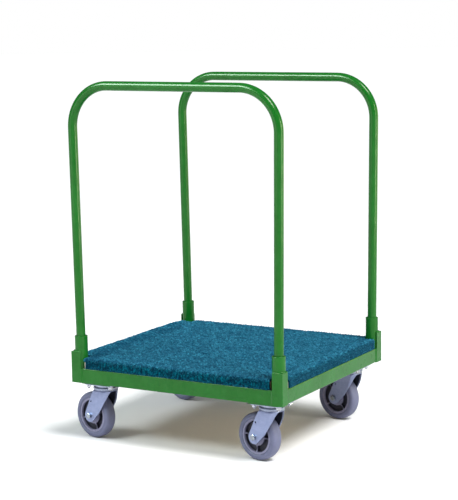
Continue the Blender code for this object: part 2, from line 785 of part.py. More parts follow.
def build_casters(shop, base):
    """Four casters of ten pieces each. Copies of a piece share one mesh, and the core, the tyre
    and their bearing share the wheel's turn."""
    bearing = ring_profile(BEARING_RADIUS, BEARING_BORE, HUB_HALF_WIDTH - BITE)
    bushing = ring_profile(BUSHING_RADIUS, BUSHING_BORE, FORK_INNER - GAP)
    fixed = {
        "top_plate": (plate_mesh(shop), shop.zinc, plate_top()),
        "kingpin": (turned_mesh(shop, "kingpin", kingpin_profile(), 12, False), shop.zinc, 0),
    }
    swivelling = {
        "swivel_bearing": (
            turned_mesh(shop, "swivel_bearing", swivel_bearing_profile(), 20),
            shop.zinc,
            CROWN_TOP + GAP,
        ),
        "fork": (fork_mesh(shop), shop.zinc, 0),
    }
    on_axle = {
        "axle_bolt": (axle_bolt_mesh(shop), shop.zinc),
        "axle_nut": (nut_mesh(shop), shop.zinc),
        "axle_bushing": (turned_mesh(shop, "axle_bushing", bushing, 12), shop.zinc),
    }
    rolling = {
        "wheel_bearing": (turned_mesh(shop, "wheel_bearing", bearing, 12), shop.bronze),
        "wheel_core": (core_mesh(shop), shop.core),
        "tyre": (turned_mesh(shop, "tyre", tyre_profile(), WHEEL_STEPS), shop.rubber),
    }
    for corner, (sx, sy) in CORNERS.items():
        x, y = kingpin_place(sx, sy)
        plate_empty = shop.empty("kingpin_axis_" + corner, base, (x, y, 0))
        swivel = shop.empty("swivel_" + corner, plate_empty, rotation=(0, 0, SWIVEL_ANGLE))
        axle = shop.empty("axle_axis_" + corner, swivel, (CASTER_TRAIL, 0, WHEEL_RADIUS))
        for name, (mesh, material, height) in fixed.items():
            piece = bpy.data.objects.new(name + "_" + corner, mesh)
            shop.keep(piece, material, plate_empty, (0, 0, height))
        for name, (mesh, material, height) in swivelling.items():
            piece = bpy.data.objects.new(name + "_" + corner, mesh)
            shop.keep(piece, material, swivel, (0, 0, height))
        # Each of these pieces is made about its own Z, which the quarter turn lays along the axle.
        for name, (mesh, material) in on_axle.items():
            piece = bpy.data.objects.new(name + "_" + corner, mesh)
            shop.keep(piece, material, axle, rotation=(-math.pi / 2, 0, 0))
        for name, (mesh, material) in rolling.items():
            piece = bpy.data.objects.new(name + "_" + corner, mesh)
            shop.keep(piece, material, axle, rotation=(-math.pi / 2, WHEEL_TURN[corner], 0))


def main():
    clear_scene()
    shop = Workshop()
    base = shop.empty("trolley_base", location=(FRAME_CENTRE_X, 0, 0))
    build_rails(shop, base)
    build_corners(shop, base)
    build_deck(shop, base)
    build_hoops(shop, base)
    build_casters(shop, base)


main()
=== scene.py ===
"""Looks of the platform trolley: painted steel frame and hoops, tufted carpet deck, zinc casters.

Metres, +Z up, in the frame's own coordinates. Every place comes from the frame's boxes and joints;
the constants below are the finer shapes that the frame's plain solids leave out.
"""

import json
import math

import bmesh
import bpy
import numpy as np
from mathutils import Matrix, Vector


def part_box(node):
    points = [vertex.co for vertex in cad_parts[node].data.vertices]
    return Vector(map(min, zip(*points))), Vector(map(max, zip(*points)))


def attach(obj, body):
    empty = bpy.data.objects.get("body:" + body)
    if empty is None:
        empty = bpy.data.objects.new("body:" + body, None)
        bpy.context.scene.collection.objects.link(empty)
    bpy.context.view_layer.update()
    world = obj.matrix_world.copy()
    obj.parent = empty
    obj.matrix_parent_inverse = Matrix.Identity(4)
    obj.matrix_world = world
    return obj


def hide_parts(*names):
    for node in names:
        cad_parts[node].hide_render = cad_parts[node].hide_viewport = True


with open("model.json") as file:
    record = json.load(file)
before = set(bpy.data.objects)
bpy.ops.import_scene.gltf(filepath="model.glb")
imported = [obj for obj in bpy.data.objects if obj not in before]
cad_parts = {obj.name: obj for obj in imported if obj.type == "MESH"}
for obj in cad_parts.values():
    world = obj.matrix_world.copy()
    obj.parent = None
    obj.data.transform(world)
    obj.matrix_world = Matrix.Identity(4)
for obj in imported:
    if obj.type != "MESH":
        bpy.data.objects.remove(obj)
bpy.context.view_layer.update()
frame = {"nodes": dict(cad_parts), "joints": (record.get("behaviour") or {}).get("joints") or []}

CORNERS = {
    "front_left": (-1, -1),
    "front_right": (1, -1),
    "back_right": (1, 1),
    "back_left": (-1, 1),
}
GAP = 0.0003
WALL = 0.0032

# Bends, roots and rounded edges of the frame's steel
RAIL_OUTER_BEND = 0.0040
RAIL_INNER_BEND = 0.0012
RAIL_RIPPLE = 0.00022
EDGE_ROUND = 0.0006
ANGLE_HEEL = 0.0012
ANGLE_ROOT = 0.0030
ANGLE_TOE = 0.0016

# Weld beads, by radius, and the ripples along them
SOCKET_BEAD = 0.0036
PAD_BEAD = 0.0024
MITRE_BEAD = 0.0022
SOCKET_RIPPLE = 0.0045
RIPPLE = 0.0035

# Ground seams: width, and profile as (share of the width, share of the step down to the rail)
SEAM_WIDTH = 0.0070
SEAM_PROFILE = (
    (-0.06, 0.03), (0.0, 0.03), (0.20, 0.28), (0.55, 0.70), (1.0, 0.99), (1.0, 1.2), (-0.06, 1.2)
)

# Hoops
TUBE_RADIUS = 0.015875
TUBE_WALL = 0.0021
HOOP_BEND_RADIUS = 0.1397
HOOP_SPLAY = 0.0124
SOCKET_BORE_RADIUS = 0.01745

# Deck: notches round the posts, where the flaps and the backing end, and the carpet itself
PLIES = 9
NOTCH = (0.3575, 0.3320)
FLAP_ENDS = ((0.3500, 0.3572), (0.3240, 0.3300))
BACKING_ENDS = ((0.3570, 0.3560), (0.3305, 0.3300))
CARPET_THICKNESS = 0.009
BACKING_THICKNESS = 0.0022
CARPET_EDGE_RADIUS = 0.0065
RIDGE_HEIGHT = 0.0078
RIDGE_WIDTH = 0.062
TUFT_STEP = 0.0036
TUFT_HEIGHT = 0.0032
TUFT_LEAN = 0.0010
TUFT_JITTER = 0.0011
EDGE_ENDS = 5200
FIELD_ENDS = 3800

# Casters: fork, as (distance back along the trail, height)
FORK_HALF = 0.032
FORK_WALL = 0.005
FORK_BEND = 0.009
NOSE_TOP = (0.0420, 0.178)
NOSE_LOW = (0.0315, 0.113)
NOSE_BEND = 0.003
LEG_FRONT = [(0.0050, 0.0960), (-0.0145, 0.125), (-0.0260, 0.145), (-0.0340, 0.163), (-0.0400, 0.176)]
LEG_REAR = [(0.0380, 0.162), (0.0290, 0.176)]
EYE_RADIUS = 0.023
LEG_HOLE_RADIUS = 0.0034
LEG_HOLE_PLACE = (0.0440, 0.132)
PAD_CORNER = 0.004
PLATE_CORNER = 0.010
PLATE_SIZE = (0.1143, 0.1016)
PLATE_THICKNESS = 0.006
BOSS_RADIUS = 0.037
KINGPIN_RADIUS = 0.006
RACE_BORE = 0.014

# Wheels
WHEEL_RADIUS = 0.080
TREAD_HALF_WIDTH = 0.0225
TREAD_CROWN = 0.0083
MOULD_LINE = 0.00015
TYRE_SEAT = 0.0603
RIM_RADIUS = 0.060
RIM_HALF_WIDTH = 0.0195
RIM_OPENING = 0.053
WEB_HALF_WIDTH = 0.004
HUB_RADIUS = 0.019
HUB_HALF_WIDTH = 0.0235
HUB_DISC_RADIUS = 0.0305
HUB_DISC_HALF_WIDTH = 0.017
HUB_BORE = 0.0150
RIB_COUNT = 4
RIB_HALF_THICKNESS = 0.0025
RIB_HALF_WIDTH = 0.0165
WHEEL_TURN = {"front_left": 20, "front_right": -3, "back_right": 38, "back_left": 62}
AXLE_RADIUS = 0.006
BUSHING = (0.0095, 0.0063, 0.0267)
BEARING = (0.0147, 0.0098, 0.0225)
AXLE_HEX = 0.019
AXLE_HEAD_HEIGHT = 0.0075
AXLE_NUT_HEIGHT = 0.010
AXLE_TIP = 0.003
AXLE_PITCH = 0.0016

# Caster mounting bolts, 3/8 inch
BOLT_SPACING = (0.089, 0.0762)
BOLT_RADIUS = 0.0046
BOLT_HEX = 0.0143
BOLT_HEAD_HEIGHT = 0.0060
BOLT_NUT_HEIGHT = 0.0078
BOLT_TIP = 0.0050
BOLT_PITCH = 0.0013
THREAD_DEPTH = 0.00045
BOLT_PLAY = 0.0001
WASHER_RADIUS = 0.0084
WASHER_THICKNESS = 0.0011

# Deck screws
SCREW_HEAD_RADIUS = 0.0048
SCREW_TOP_RADIUS = 0.0036
SCREW_HEAD_HEIGHT = 0.0026


# ---------------------------------------------------------------- materials


class Finish:
    """A Principled material whose colour, roughness and bump are laid on in layers.

    A pattern is a socket, or a noise given as (scale, detail, roughness, stretch).
    """

    def __init__(self, name, **values):
        self.material = bpy.data.materials.new(name)
        self.material.use_nodes = True
        self.tree = self.material.node_tree
        self.shader = self.tree.nodes["Principled BSDF"]
        for socket, value in values.items():
            self.shader.inputs[socket.replace("_", " ")].default_value = value
        self.own = self.node("ShaderNodeTexCoord").outputs
        shift = self.maths("MULTIPLY", self.node("ShaderNodeObjectInfo").outputs["Random"], 7.0)
        self.place = self.vectors("ADD", self.own["Object"], shift)
        self.base = self.height = None

    def node(self, kind, inputs=None, **settings):
        made = self.tree.nodes.new(kind)
        for name, value in settings.items():
            setattr(made, name, value)
        for socket, value in (inputs or {}).items():
            if isinstance(value, bpy.types.NodeSocket):
                self.tree.links.new(value, made.inputs[socket])
            else:
                made.inputs[socket].default_value = value
        return made

    def maths(self, operation, *inputs, kind="ShaderNodeMath"):
        return self.node(kind, dict(enumerate(inputs)), operation=operation).outputs[0]

    def vectors(self, operation, *inputs):
        return self.maths(operation, *inputs, kind="ShaderNodeVectorMath")

    def axis(self, vector, index):
        return self.node("ShaderNodeSeparateXYZ", {0: vector}).outputs[index]

    def normal(self, index):
        return self.axis(self.node("ShaderNodeNewGeometry").outputs["Normal"], index)

    def pattern(self, source):
        return self.noise(*source) if isinstance(source, tuple) else source

    def noise(self, scale, detail=2.0, roughness=0.5, stretch=None):
        place = self.vectors("MULTIPLY", self.place, stretch) if stretch else self.place
        inputs = {"Vector": place, "Scale": scale, "Detail": detail, "Roughness": roughness}
        return self.node("ShaderNodeTexNoise", inputs).outputs["Fac"]

    def ramp(self, source, low, high, start=0.0, end=1.0):
        """A pattern mapped from low..high to start..end, clamped."""
        spans = {"From Min": low, "From Max": high, "To Min": start, "To Max": end}
        return self.node("ShaderNodeMapRange", {"Value": self.pattern(source), **spans}).outputs["Result"]

    def mix(self, factor, *colours):
        first, second = (c if isinstance(c, bpy.types.NodeSocket) else (*c, 1) for c in colours)
        return self.node("ShaderNodeMix", {0: factor, 6: first, 7: second}, data_type="RGBA").outputs[2]

    def blend(self, source, low, high, first, second):
        """The ground colour: from the first to the second by a pattern."""
        self.base = self.mix(self.ramp(source, low, high), first, second)

    def over(self, factor, colour, amount=None):
        """A colour laid over the ground, as far as factor says."""
        share = factor if amount is None else self.maths("MULTIPLY", factor, amount)
        self.base = self.mix(share, self.base, colour)

    def patches(self, *rows):
        """Colours laid over the ground where a pattern is high."""
        for source, low, high, amount, colour in rows:
            self.over(self.ramp(source, low, high), colour, amount)

    def rough(self, source, start, end, low=0.3, high=0.7):
        self.tree.links.new(self.ramp(source, low, high, start, end), self.shader.inputs["Roughness"])

    def bump(self, source, depth, strength=0.5):
        """A bump of this depth in metres on top of those already there."""
        inputs = {"Height": self.pattern(source), "Distance": depth, "Strength": strength}
        if self.height is not None:
            inputs["Normal"] = self.height
        self.height = self.node("ShaderNodeBump", inputs).outputs["Normal"]
        self.tree.links.new(self.height, self.shader.inputs["Normal"])

    def done(self):
        if self.base is not None:
            self.tree.links.new(self.base, self.shader.inputs["Base Color"])
        return self.material


def painted_steel(name="green_enamel", gloss=0.27):
    """Brushed enamel: drifts of tone, flecks, smudges, dust, and thin paint at the edges."""
    finish = Finish(name, Coat_Weight=0.42, Coat_Roughness=0.20, Specular_IOR_Level=0.05,
                    Specular_Tint=(1.0, 1.0, 0.05, 1))
    finish.blend((9.0, 3.0), 0.35, 0.65, (0.002, 0.104, 0.007), (0.005, 0.124, 0.011))
    finish.patches(
        ((55.0, 4.0, 0.6), 0.30, 0.75, 0.35, (0.014, 0.148, 0.019)),
        ((420.0, 2.0, 0.6), 0.66, 0.74, 0.55, (0.008, 0.060, 0.014)),
        ((70.0, 6.0, 0.72, (1.0, 1.0, 0.5)), 0.56, 0.70, 0.40, (0.004, 0.066, 0.010)),
        ((24.0, 6.0, 0.72, (1.0, 1.0, 0.4)), 0.50, 0.72, 0.22, (0.030, 0.180, 0.040)),
    )
    edge = finish.ramp(finish.node("ShaderNodeNewGeometry").outputs["Pointiness"], 0.57, 0.66)
    chips = finish.ramp((160.0, 3.0, 0.65), 0.50, 0.62)
    finish.over(finish.maths("MULTIPLY", edge, chips), (0.060, 0.055, 0.030), 0.4)
    finish.rough((30.0, 3.0), gloss - 0.05, gloss + 0.11)
    finish.bump((650.0, 2.0), 0.00010)
    finish.bump((38.0, 3.0), 0.00045)
    return finish.done()


def zinc(name, colour, shade, rough=0.36, metallic=0.85, shade_inside=False):
    """Bright zinc plate: soft blotches, fine roll streaks, a little dirt, and painted shade on the inner
    faces between the legs.
    """
    finish = Finish(name, Metallic=metallic)
    finish.blend((70.0, 4.0, 0.6), 0.30, 0.70, shade, colour)
    finish.patches(
        ((26.0, 4.0, 0.6, (1.0, 1.0, 14.0)), 0.45, 0.75, 0.25, tuple(0.72 * c for c in shade)),
        ((240.0, 3.0, 0.7), 0.60, 0.72, 0.35, (0.13, 0.13, 0.15)),
    )
    if shade_inside:
        # Painted shade: faces that look in towards the middle, between the fork's legs, are darkened.
        facing = finish.maths("MULTIPLY", *(finish.axis(finish.own[out], 1) for out in ("Object", "Normal")))
        finish.over(finish.ramp(facing, -0.022, -0.004, 0.88, 0.0), (0.012, 0.013, 0.020))
    finish.rough((90.0, 3.0), rough - 0.06, rough + 0.12)
    finish.bump((900.0, 2.0), 0.00005)
    finish.bump((60.0, 2.0), 0.00030, 0.35)
    return finish.done()


def rubber():
    """Solid grey tyre rubber: dusty bloom, fine pores, small scuffs."""
    finish = Finish("grey_rubber_tread", Roughness=0.5, Specular_IOR_Level=0.35)
    finish.blend((24.0, 4.0, 0.6), 0.3, 0.7, (0.108, 0.116, 0.196), (0.146, 0.154, 0.256))
    finish.patches(((130.0, 5.0, 0.7), 0.58, 0.72, 0.45, (0.090, 0.090, 0.120)))
    finish.rough((45.0, 3.0), 0.42, 0.60)
    finish.bump((1100.0, 2.0), 0.00010)
    finish.bump((85.0, 3.0), 0.00025, 0.4)
    return finish.done()


def moulded_core():
    """Moulded nylon wheel core: the fine grain of the mould, with painted shade in its pockets."""
    finish = Finish("grey_nylon_core", Roughness=0.42, Specular_IOR_Level=0.2)
    finish.blend((40.0, 3.0), 0.3, 0.7, (0.200, 0.195, 0.300), (0.250, 0.245, 0.360))
    finish.patches(((150.0, 4.0, 0.7), 0.56, 0.70, 0.5, (0.060, 0.058, 0.080)))
    # Painted shade: the core darkens where its surface lies deep below the rim's faces, in the pockets.
    level = finish.maths("ABSOLUTE", finish.axis(finish.own["Object"], 2))
    recess_shade = finish.ramp(level, RIB_HALF_WIDTH - 0.0055, RIB_HALF_WIDTH - 0.0012, 0.94, 0.0)
    finish.over(recess_shade, (0.014, 0.014, 0.022))
    finish.rough((60.0, 2.0), 0.34, 0.52)
    finish.bump((1500.0, 2.0), 0.00006)
    return finish.done()


def plywood():
    """Raw plywood: long face grain on the flats, stacked plies along the edges."""
    finish = Finish("raw_plywood", Roughness=0.7)
    grain = finish.noise(34.0, 6.0, 0.65, (0.6, 9.0, 9.0))
    face = finish.mix(finish.ramp(grain, 0.3, 0.7), (0.38, 0.27, 0.16), (0.60, 0.46, 0.30))
    low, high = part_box("deck_board")
    ply = finish.maths("MULTIPLY", finish.axis(finish.place, 2), math.pi * PLIES / (high.z - low.z))
    layer = finish.ramp(finish.maths("SINE", ply), -0.3, 0.3)
    # The edges show the plies' own stacked tones, darkened further as painted shade for the dark gaps round
    # the posts.
    edge = finish.mix(layer, (0.11, 0.050, 0.020), (0.26, 0.15, 0.07))
    finish.blend(finish.maths("ABSOLUTE", finish.normal(2)), 0.4, 0.6, edge, face)
    finish.rough(grain, 0.62, 0.80)
    finish.bump(grain, 0.0004, 0.6)
    return finish.done()


def carpet_pile(name="teal_pile", loose=False):
    """Cut pile: painted shade between the tufts, paler at the tips, brushed into lighter and darker drifts.
    """
    finish = Finish(name, Roughness=0.95, Sheen_Weight=0.40, Sheen_Roughness=0.40,
                    Sheen_Tint=(0.14, 0.60, 1.0, 1), Specular_IOR_Level=0.02)
    tip, tone = (
        finish.node("ShaderNodeAttribute", attribute_name=key).outputs["Fac"] for key in ("tip", "tone")
    )
    finish.blend((8.0, 4.0, 0.6, (1.0, 2.0, 1.0)), 0.36, 0.64, (0.002, 0.056, 0.100), (0.005, 0.084, 0.150))
    finish.over(tone, (0.046, 0.290, 0.420), 0.95)
    finish.patches(
        ((135.0, 4.0, 0.75), 0.44, 0.57, 0.88, (0.0005, 0.015, 0.037)),
        ((420.0, 3.0, 0.7), 0.38, 0.62, 0.50, (0.001, 0.032, 0.065)),
    )
    # Painted shade: the yarn darkens from the tufts' tips down to their roots.
    finish.over(finish.ramp(tip, 0.0, 0.60, 0.85, 0.0), (0.001, 0.022, 0.045))
    if not loose:
        # Painted shade: the folded sides are darkened below the top, most of all those that face left and
        # right.
        shaded_side = finish.vectors("MULTIPLY", finish.base, (0.02, 0.62, 0.60))
        sideways = finish.maths("ABSOLUTE", finish.normal(0))
        shade = finish.mix(finish.ramp(sideways, 0.3, 0.7), shaded_side, (0.0002, 0.020, 0.038))
        drop = finish.mix(finish.ramp(sideways, 0.3, 0.7, 0.0, 0.8), shaded_side, shade)
        finish.blend(finish.normal(2), 0.1, 0.7, drop, finish.base)
    finish.rough((60.0, 2.0), 0.86, 1.0)
    finish.bump((900.0, 3.0, 0.7), 0.0009, 0.7)
    return finish.done()


def carpet_backing():
    """Woven jute-coloured backing of the carpet."""
    finish = Finish("cream_backing", Roughness=0.9)
    inputs = {"Vector": finish.place, "Scale": 160.0, "Distortion": 1.5, "Detail": 1.0}
    weave = finish.node("ShaderNodeTexWave", inputs, bands_direction="DIAGONAL").outputs["Fac"]
    finish.blend((60.0, 3.0), 0.3, 0.7, (0.50, 0.46, 0.36), (0.66, 0.62, 0.52))
    finish.over(weave, (0.34, 0.29, 0.20), 0.35)
    finish.rough(weave, 0.80, 0.95, 0.0, 1.0)
    finish.bump(weave, 0.0005, 0.6)
    return finish.done()


def bronze():
    """Plain machined bearing bronze."""
    finish = Finish("bearing_bronze_turned", Metallic=0.9)
    rings = finish.noise(120.0, 3.0, 0.6, (1.0, 1.0, 20.0))
    finish.base = finish.mix(rings, (0.36, 0.24, 0.11), (0.55, 0.41, 0.20))
    finish.rough(rings, 0.28, 0.45)
    finish.bump(rings, 0.0001, 0.4)
    return finish.done()


def matt_stage():
    finish = Finish("pale_floor", Base_Color=(0.90, 0.90, 0.90, 1), Roughness=0.9)
    finish.rough((3.0, 2.0), 0.85, 0.95)
    return finish.done()


# ---------------------------------------------------------------- shapes


def arc(centre, radius, start, end, steps):
    """Points along an arc in a plane, with both ends; angles in radians."""
    turns = [start + (end - start) * step / steps for step in range(steps + 1)]
    return [(centre[0] + radius * math.cos(a), centre[1] + radius * math.sin(a)) for a in turns]


def shifted(x=0.0, y=0.0, z=0.0):
    return Matrix.Translation((x, y, z))


def turned_by(angle, axis):
    return Matrix.Rotation(angle, 4, axis)


def link(obj):
    bpy.context.scene.collection.objects.link(obj)
    return obj


def rounded(corners, steps=4, closed=True):
    """An outline of (x, y, radius) corners, each rounded to its radius. Radius 0 stays sharp."""
    outline = []
    count = len(corners)
    for index, (x, y, radius) in enumerate(corners):
        ends = not closed and index in (0, count - 1)
        if radius <= 0 or ends:
            outline.append((x, y))
            continue
        here = Vector((x, y))
        before = (Vector(corners[index - 1][:2]) - here).normalized()
        after = (Vector(corners[(index + 1) % count][:2]) - here).normalized()
        half = before.angle(after) / 2
        reach = radius / math.tan(half)
        centre = here + (before + after).normalized() * (radius / math.sin(half))
        first = here + before * reach - centre
        last = here + after * reach - centre
        turn = math.atan2(first.x * last.y - first.y * last.x, first.dot(last))
        start = math.atan2(first.y, first.x)
        outline += arc(centre, radius, start, start + turn, steps)
    return outline


def mesh_from(name, points, faces, sharp=40):
    mesh = bpy.data.meshes.new(name)
    mesh.from_pydata([tuple(point) for point in points], [], [tuple(face) for face in faces])
    bm = bmesh.new()
    bm.from_mesh(mesh)
    bmesh.ops.remove_doubles(bm, verts=bm.verts, dist=1e-6)
    bmesh.ops.dissolve_degenerate(bm, edges=bm.edges, dist=1e-7)
    bmesh.ops.recalc_face_normals(bm, faces=bm.faces)
    bm.to_mesh(mesh)
    bm.free()
    mesh.shade_smooth()
    mesh.set_sharp_from_angle(angle=math.radians(sharp))
    return mesh


def loft(name, rings, around=True, along=False, caps=True, sharp=40):
    """A skin through rings of points. around: each ring is closed. along: the last joins the first."""
    count, size = len(rings), len(rings[0])
    points = [point for ring in rings for point in ring]
    faces = []
    for row in range(count if along else count - 1):
        following = (row + 1) % count
        for column in range(size if around else size - 1):
            beside = (column + 1) % size
            faces.append((
                row * size + column,
                row * size + beside,
                following * size + beside,
                following * size + column,
            ))
    if caps and not along:
        faces.append(range(size - 1, -1, -1))
        faces.append(range((count - 1) * size, count * size))
    return mesh_from(name, points, faces, sharp)


def turned(name, profile, steps=64, closed=True, sharp=40):
    """A profile of (radius, height) turned about Z. An open profile starts and ends on the axis."""
    angles = [2 * math.pi * step / steps for step in range(steps)]
    rings = [[(r * math.cos(a), r * math.sin(a), z) for r, z in profile] for a in angles]
    return loft(name, rings, around=closed, along=True, sharp=sharp)


def merged(name, meshes, sharp=40):
    """Several (mesh, matrix) made one mesh of separate bodies."""
    bm = bmesh.new()
    for mesh, place in meshes:
        copy = mesh.copy()
        copy.transform(place)
        bm.from_mesh(copy)
        bpy.data.meshes.remove(copy)
    made = bpy.data.meshes.new(name)
    bm.to_mesh(made)
    bm.free()
    made.shade_smooth()
    made.set_sharp_from_angle(angle=math.radians(sharp))
    return made


def smooth_noise(x, y, cell, seed):
    """Soft random heights from -1 to 1 over a plane, with features about one cell across."""
    size = 257
    grid = np.random.default_rng(seed).uniform(-1, 1, (size, size))
    u, v = np.asarray(x) / cell, np.asarray(y) / cell
    i, j = np.floor(u).astype(int), np.floor(v).astype(int)
    a, b = u - i, v - j
    a, b = a * a * (3 - 2 * a), b * b * (3 - 2 * b)
    i, j, right, above = i % size, j % size, (i + 1) % size, (j + 1) % size
    low = grid[i, j] * (1 - a) + grid[right, j] * a
    high = grid[i, above] * (1 - a) + grid[right, above] * a
    return low * (1 - b) + high * b


def bevelled(obj, width, angle, clamp=True):
    bevel = obj.modifiers.new("rounded_edges", "BEVEL")
    bevel.width = width
    bevel.segments = 2
    bevel.limit_method = "ANGLE"
    bevel.angle_limit = math.radians(angle)
    bevel.use_clamp_overlap = clamp


def even_shading(obj):
    obj.modifiers.new("even_shading", "WEIGHTED_NORMAL").keep_sharp = True


def place_piece(mesh, material, body, stands_for=(), place=None, name=None):
    """Puts a finished mesh in the scene, riding on its body."""
    obj = link(bpy.data.objects.new(name or mesh.name, mesh))
    if not mesh.materials:
        mesh.materials.append(material)
    if place is not None:
        obj.matrix_world = place
    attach(obj, body)
    if stands_for:
        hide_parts(*stands_for)
    return obj


def corner_of(node, sx, sy, inner=False):
    """The corner of a node's box that points the way (sx, sy), or the opposite one; low in Z."""
    low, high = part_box(node)
    if inner:
        sx, sy = -sx, -sy
    return Vector((high.x if sx > 0 else low.x, high.y if sy > 0 else low.y, low.z))


def rail_corner(sx, sy, inner=False):
    """Where the faces of the two rails at a corner of the deck cross."""
    side = corner_of("rail_right" if sx > 0 else "rail_left", sx, sy, inner)
    end = corner_of("rail_back" if sy > 0 else "rail_front", sx, sy, inner)
    return Vector((side.x, end.y, end.z))


# ---------------------------------------------------------------- frame


def rail_section(height, flange):
    """Channel section: local X runs in from the web's outer face, local Y is height."""
    bend, root, edge = RAIL_OUTER_BEND, RAIL_INNER_BEND, EDGE_ROUND
    return rounded([
        (0, 0, bend),
        (flange, 0, edge),
        (flange, WALL, edge),
        (WALL, WALL, root),
        (WALL, height - WALL, root),
        (flange, height - WALL, edge),
        (flange, height, edge),
        (0, height, bend),
    ])


def build_rails(paint):
    """Bent channels, mitred at their ends, with the faint ripple of a pressed strip."""
    stations = 29
    ways = {"front": (1, 0), "right": (0, 1), "back": (-1, 0), "left": (0, -1)}
    for index, (side, (way_x, way_y)) in enumerate(ways.items()):
        along, inward = Vector((way_x, way_y, 0)), Vector((-way_y, way_x, 0))
        low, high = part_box("rail_" + side)
        size = high - low
        length = abs(size.dot(along))
        flange = abs(size.dot(inward))
        outer = (low + high) / 2 - inward * flange / 2
        outer.z = low.z
        section = rail_section(size.z, flange)
        rings = []
        for station in range(stations):
            share = 2 * station / (stations - 1) - 1
            ring = []
            for x, y in section:
                distance = share * (length / 2 - x)
                ripple = RAIL_RIPPLE * float(smooth_noise(distance + 3, y, 0.07, 20 + index))
                ripple *= 1 - abs(share) ** 6
                ring.append(outer + inward * (x + ripple) + along * distance + Vector((0, 0, y)))
            rings.append(ring)
        mesh = loft("channel_rail_" + side, rings)
        even_shading(place_piece(mesh, paint, "frame", ["rail_" + side]))


def build_posts(paint):
    """Rolled angle posts with a rounded heel, root and toes, one round each corner."""
    for corner, (sx, sy) in CORNERS.items():
        node = "corner_post_" + corner
        low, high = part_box(node)
        leg = high.x - low.x
        heel = corner_of(node, sx, sy)
        section = rounded([
            (0, 0, ANGLE_HEEL),
            (leg, 0, EDGE_ROUND),
            (leg, WALL, ANGLE_TOE),
            (WALL, WALL, ANGLE_ROOT),
            (WALL, leg, ANGLE_TOE),
            (0, leg, EDGE_ROUND),
        ])
        heights = [share * (high.z - low.z) for share in (0.0, 0.25, 0.5, 0.75, 1.0)]
        rings = [[heel + Vector((-sx * x, -sy * y, z)) for x, y in section] for z in heights]
        mesh = loft("angle_post_" + corner, rings)
        obj = place_piece(mesh, paint, "frame", [node])
        bevelled(obj, EDGE_ROUND, 50)
        even_shading(obj)


def build_sockets(paint):
    """Short lengths of round tube, faced off and chamfered at the top."""
    for corner in CORNERS:
        node = "hoop_socket_" + corner
        low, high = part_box(node)
        radius = (high.x - low.x) / 2
        height = high.z - low.z
        profile = rounded([
            (radius, 0, 0.0005),
            (radius, height, 0.0014),
            (SOCKET_BORE_RADIUS, height, 0.0008),
            (SOCKET_BORE_RADIUS, 0, 0.0005),
        ])
        place = shifted((low.x + high.x) / 2, (low.y + high.y) / 2, low.z)
        mesh = turned("socket_tube_" + corner, profile)
        even_shading(place_piece(mesh, paint, "frame", [node], place))


def bead(path, radius, seed, pitch=RIPPLE, flat=0.75):
    """A weld bead along a list of points: overlapping ripples of uneven width."""
    reach = 0.0006
    lump_count = 64
    spans = np.cumsum([0.0] + [(b - a).length for a, b in zip(path, path[1:])])
    length = float(spans[-1])
    steps = max(8, round(length / 0.0008))
    line = np.array(path)
    rng = np.random.default_rng(seed)
    phase = rng.uniform(0, 6)
    lumps = rng.uniform(0.82, 1.22, lump_count)
    rings = []
    for step in range(steps + 1):
        at = length * step / steps
        here, ahead, behind = (
            Vector([float(np.interp(at + off, spans, line[:, axis])) for axis in range(3)])
            for off in (0.0, reach, -reach)
        )
        tangent = (ahead - behind).normalized()
        side = tangent.orthogonal().normalized()
        if abs(tangent.z) < 0.9:
            side = tangent.cross(Vector((0, 0, 1))).normalized()
        up = side.cross(tangent)
        turn = (at / pitch + phase) % 1.0
        ripple = 0.80 + 0.26 * math.sqrt(max(0.0, 1 - (2 * turn - 1) ** 2))
        lump = float(np.interp(at / (2.3 * pitch), range(lump_count), lumps))
        end = min(1.0, min(at, length - at) / (1.2 * radius) + 0.05)
        width = radius * ripple * lump * math.sqrt(max(0.02, end * (2 - end)))
        angles = [2 * math.pi * index / 12 for index in range(12)]
        rings.append([here + side * width * math.cos(a) + up * width * flat * math.sin(a) for a in angles])
    return loft("bead", rings, sharp=70)


def ground_seam(edge, along, out, depth, ends, seed):
    """A weld ground down to a slope, from the edge of a post's leg to the rail's face."""
    steps = 32
    widths = SEAM_WIDTH * np.random.default_rng(seed).uniform(0.75, 1.25, 16)
    rings = []
    for step in range(steps + 1):
        width = float(np.interp(step / 2.2, range(16), widths))
        z = ends[0] + (ends[1] - ends[0]) * step / steps
        places = [edge + along * share * width - out * sink * depth for share, sink in SEAM_PROFILE]
        rings.append([Vector((place.x, place.y, z)) for place in places])
    return loft("seam", rings, sharp=50)


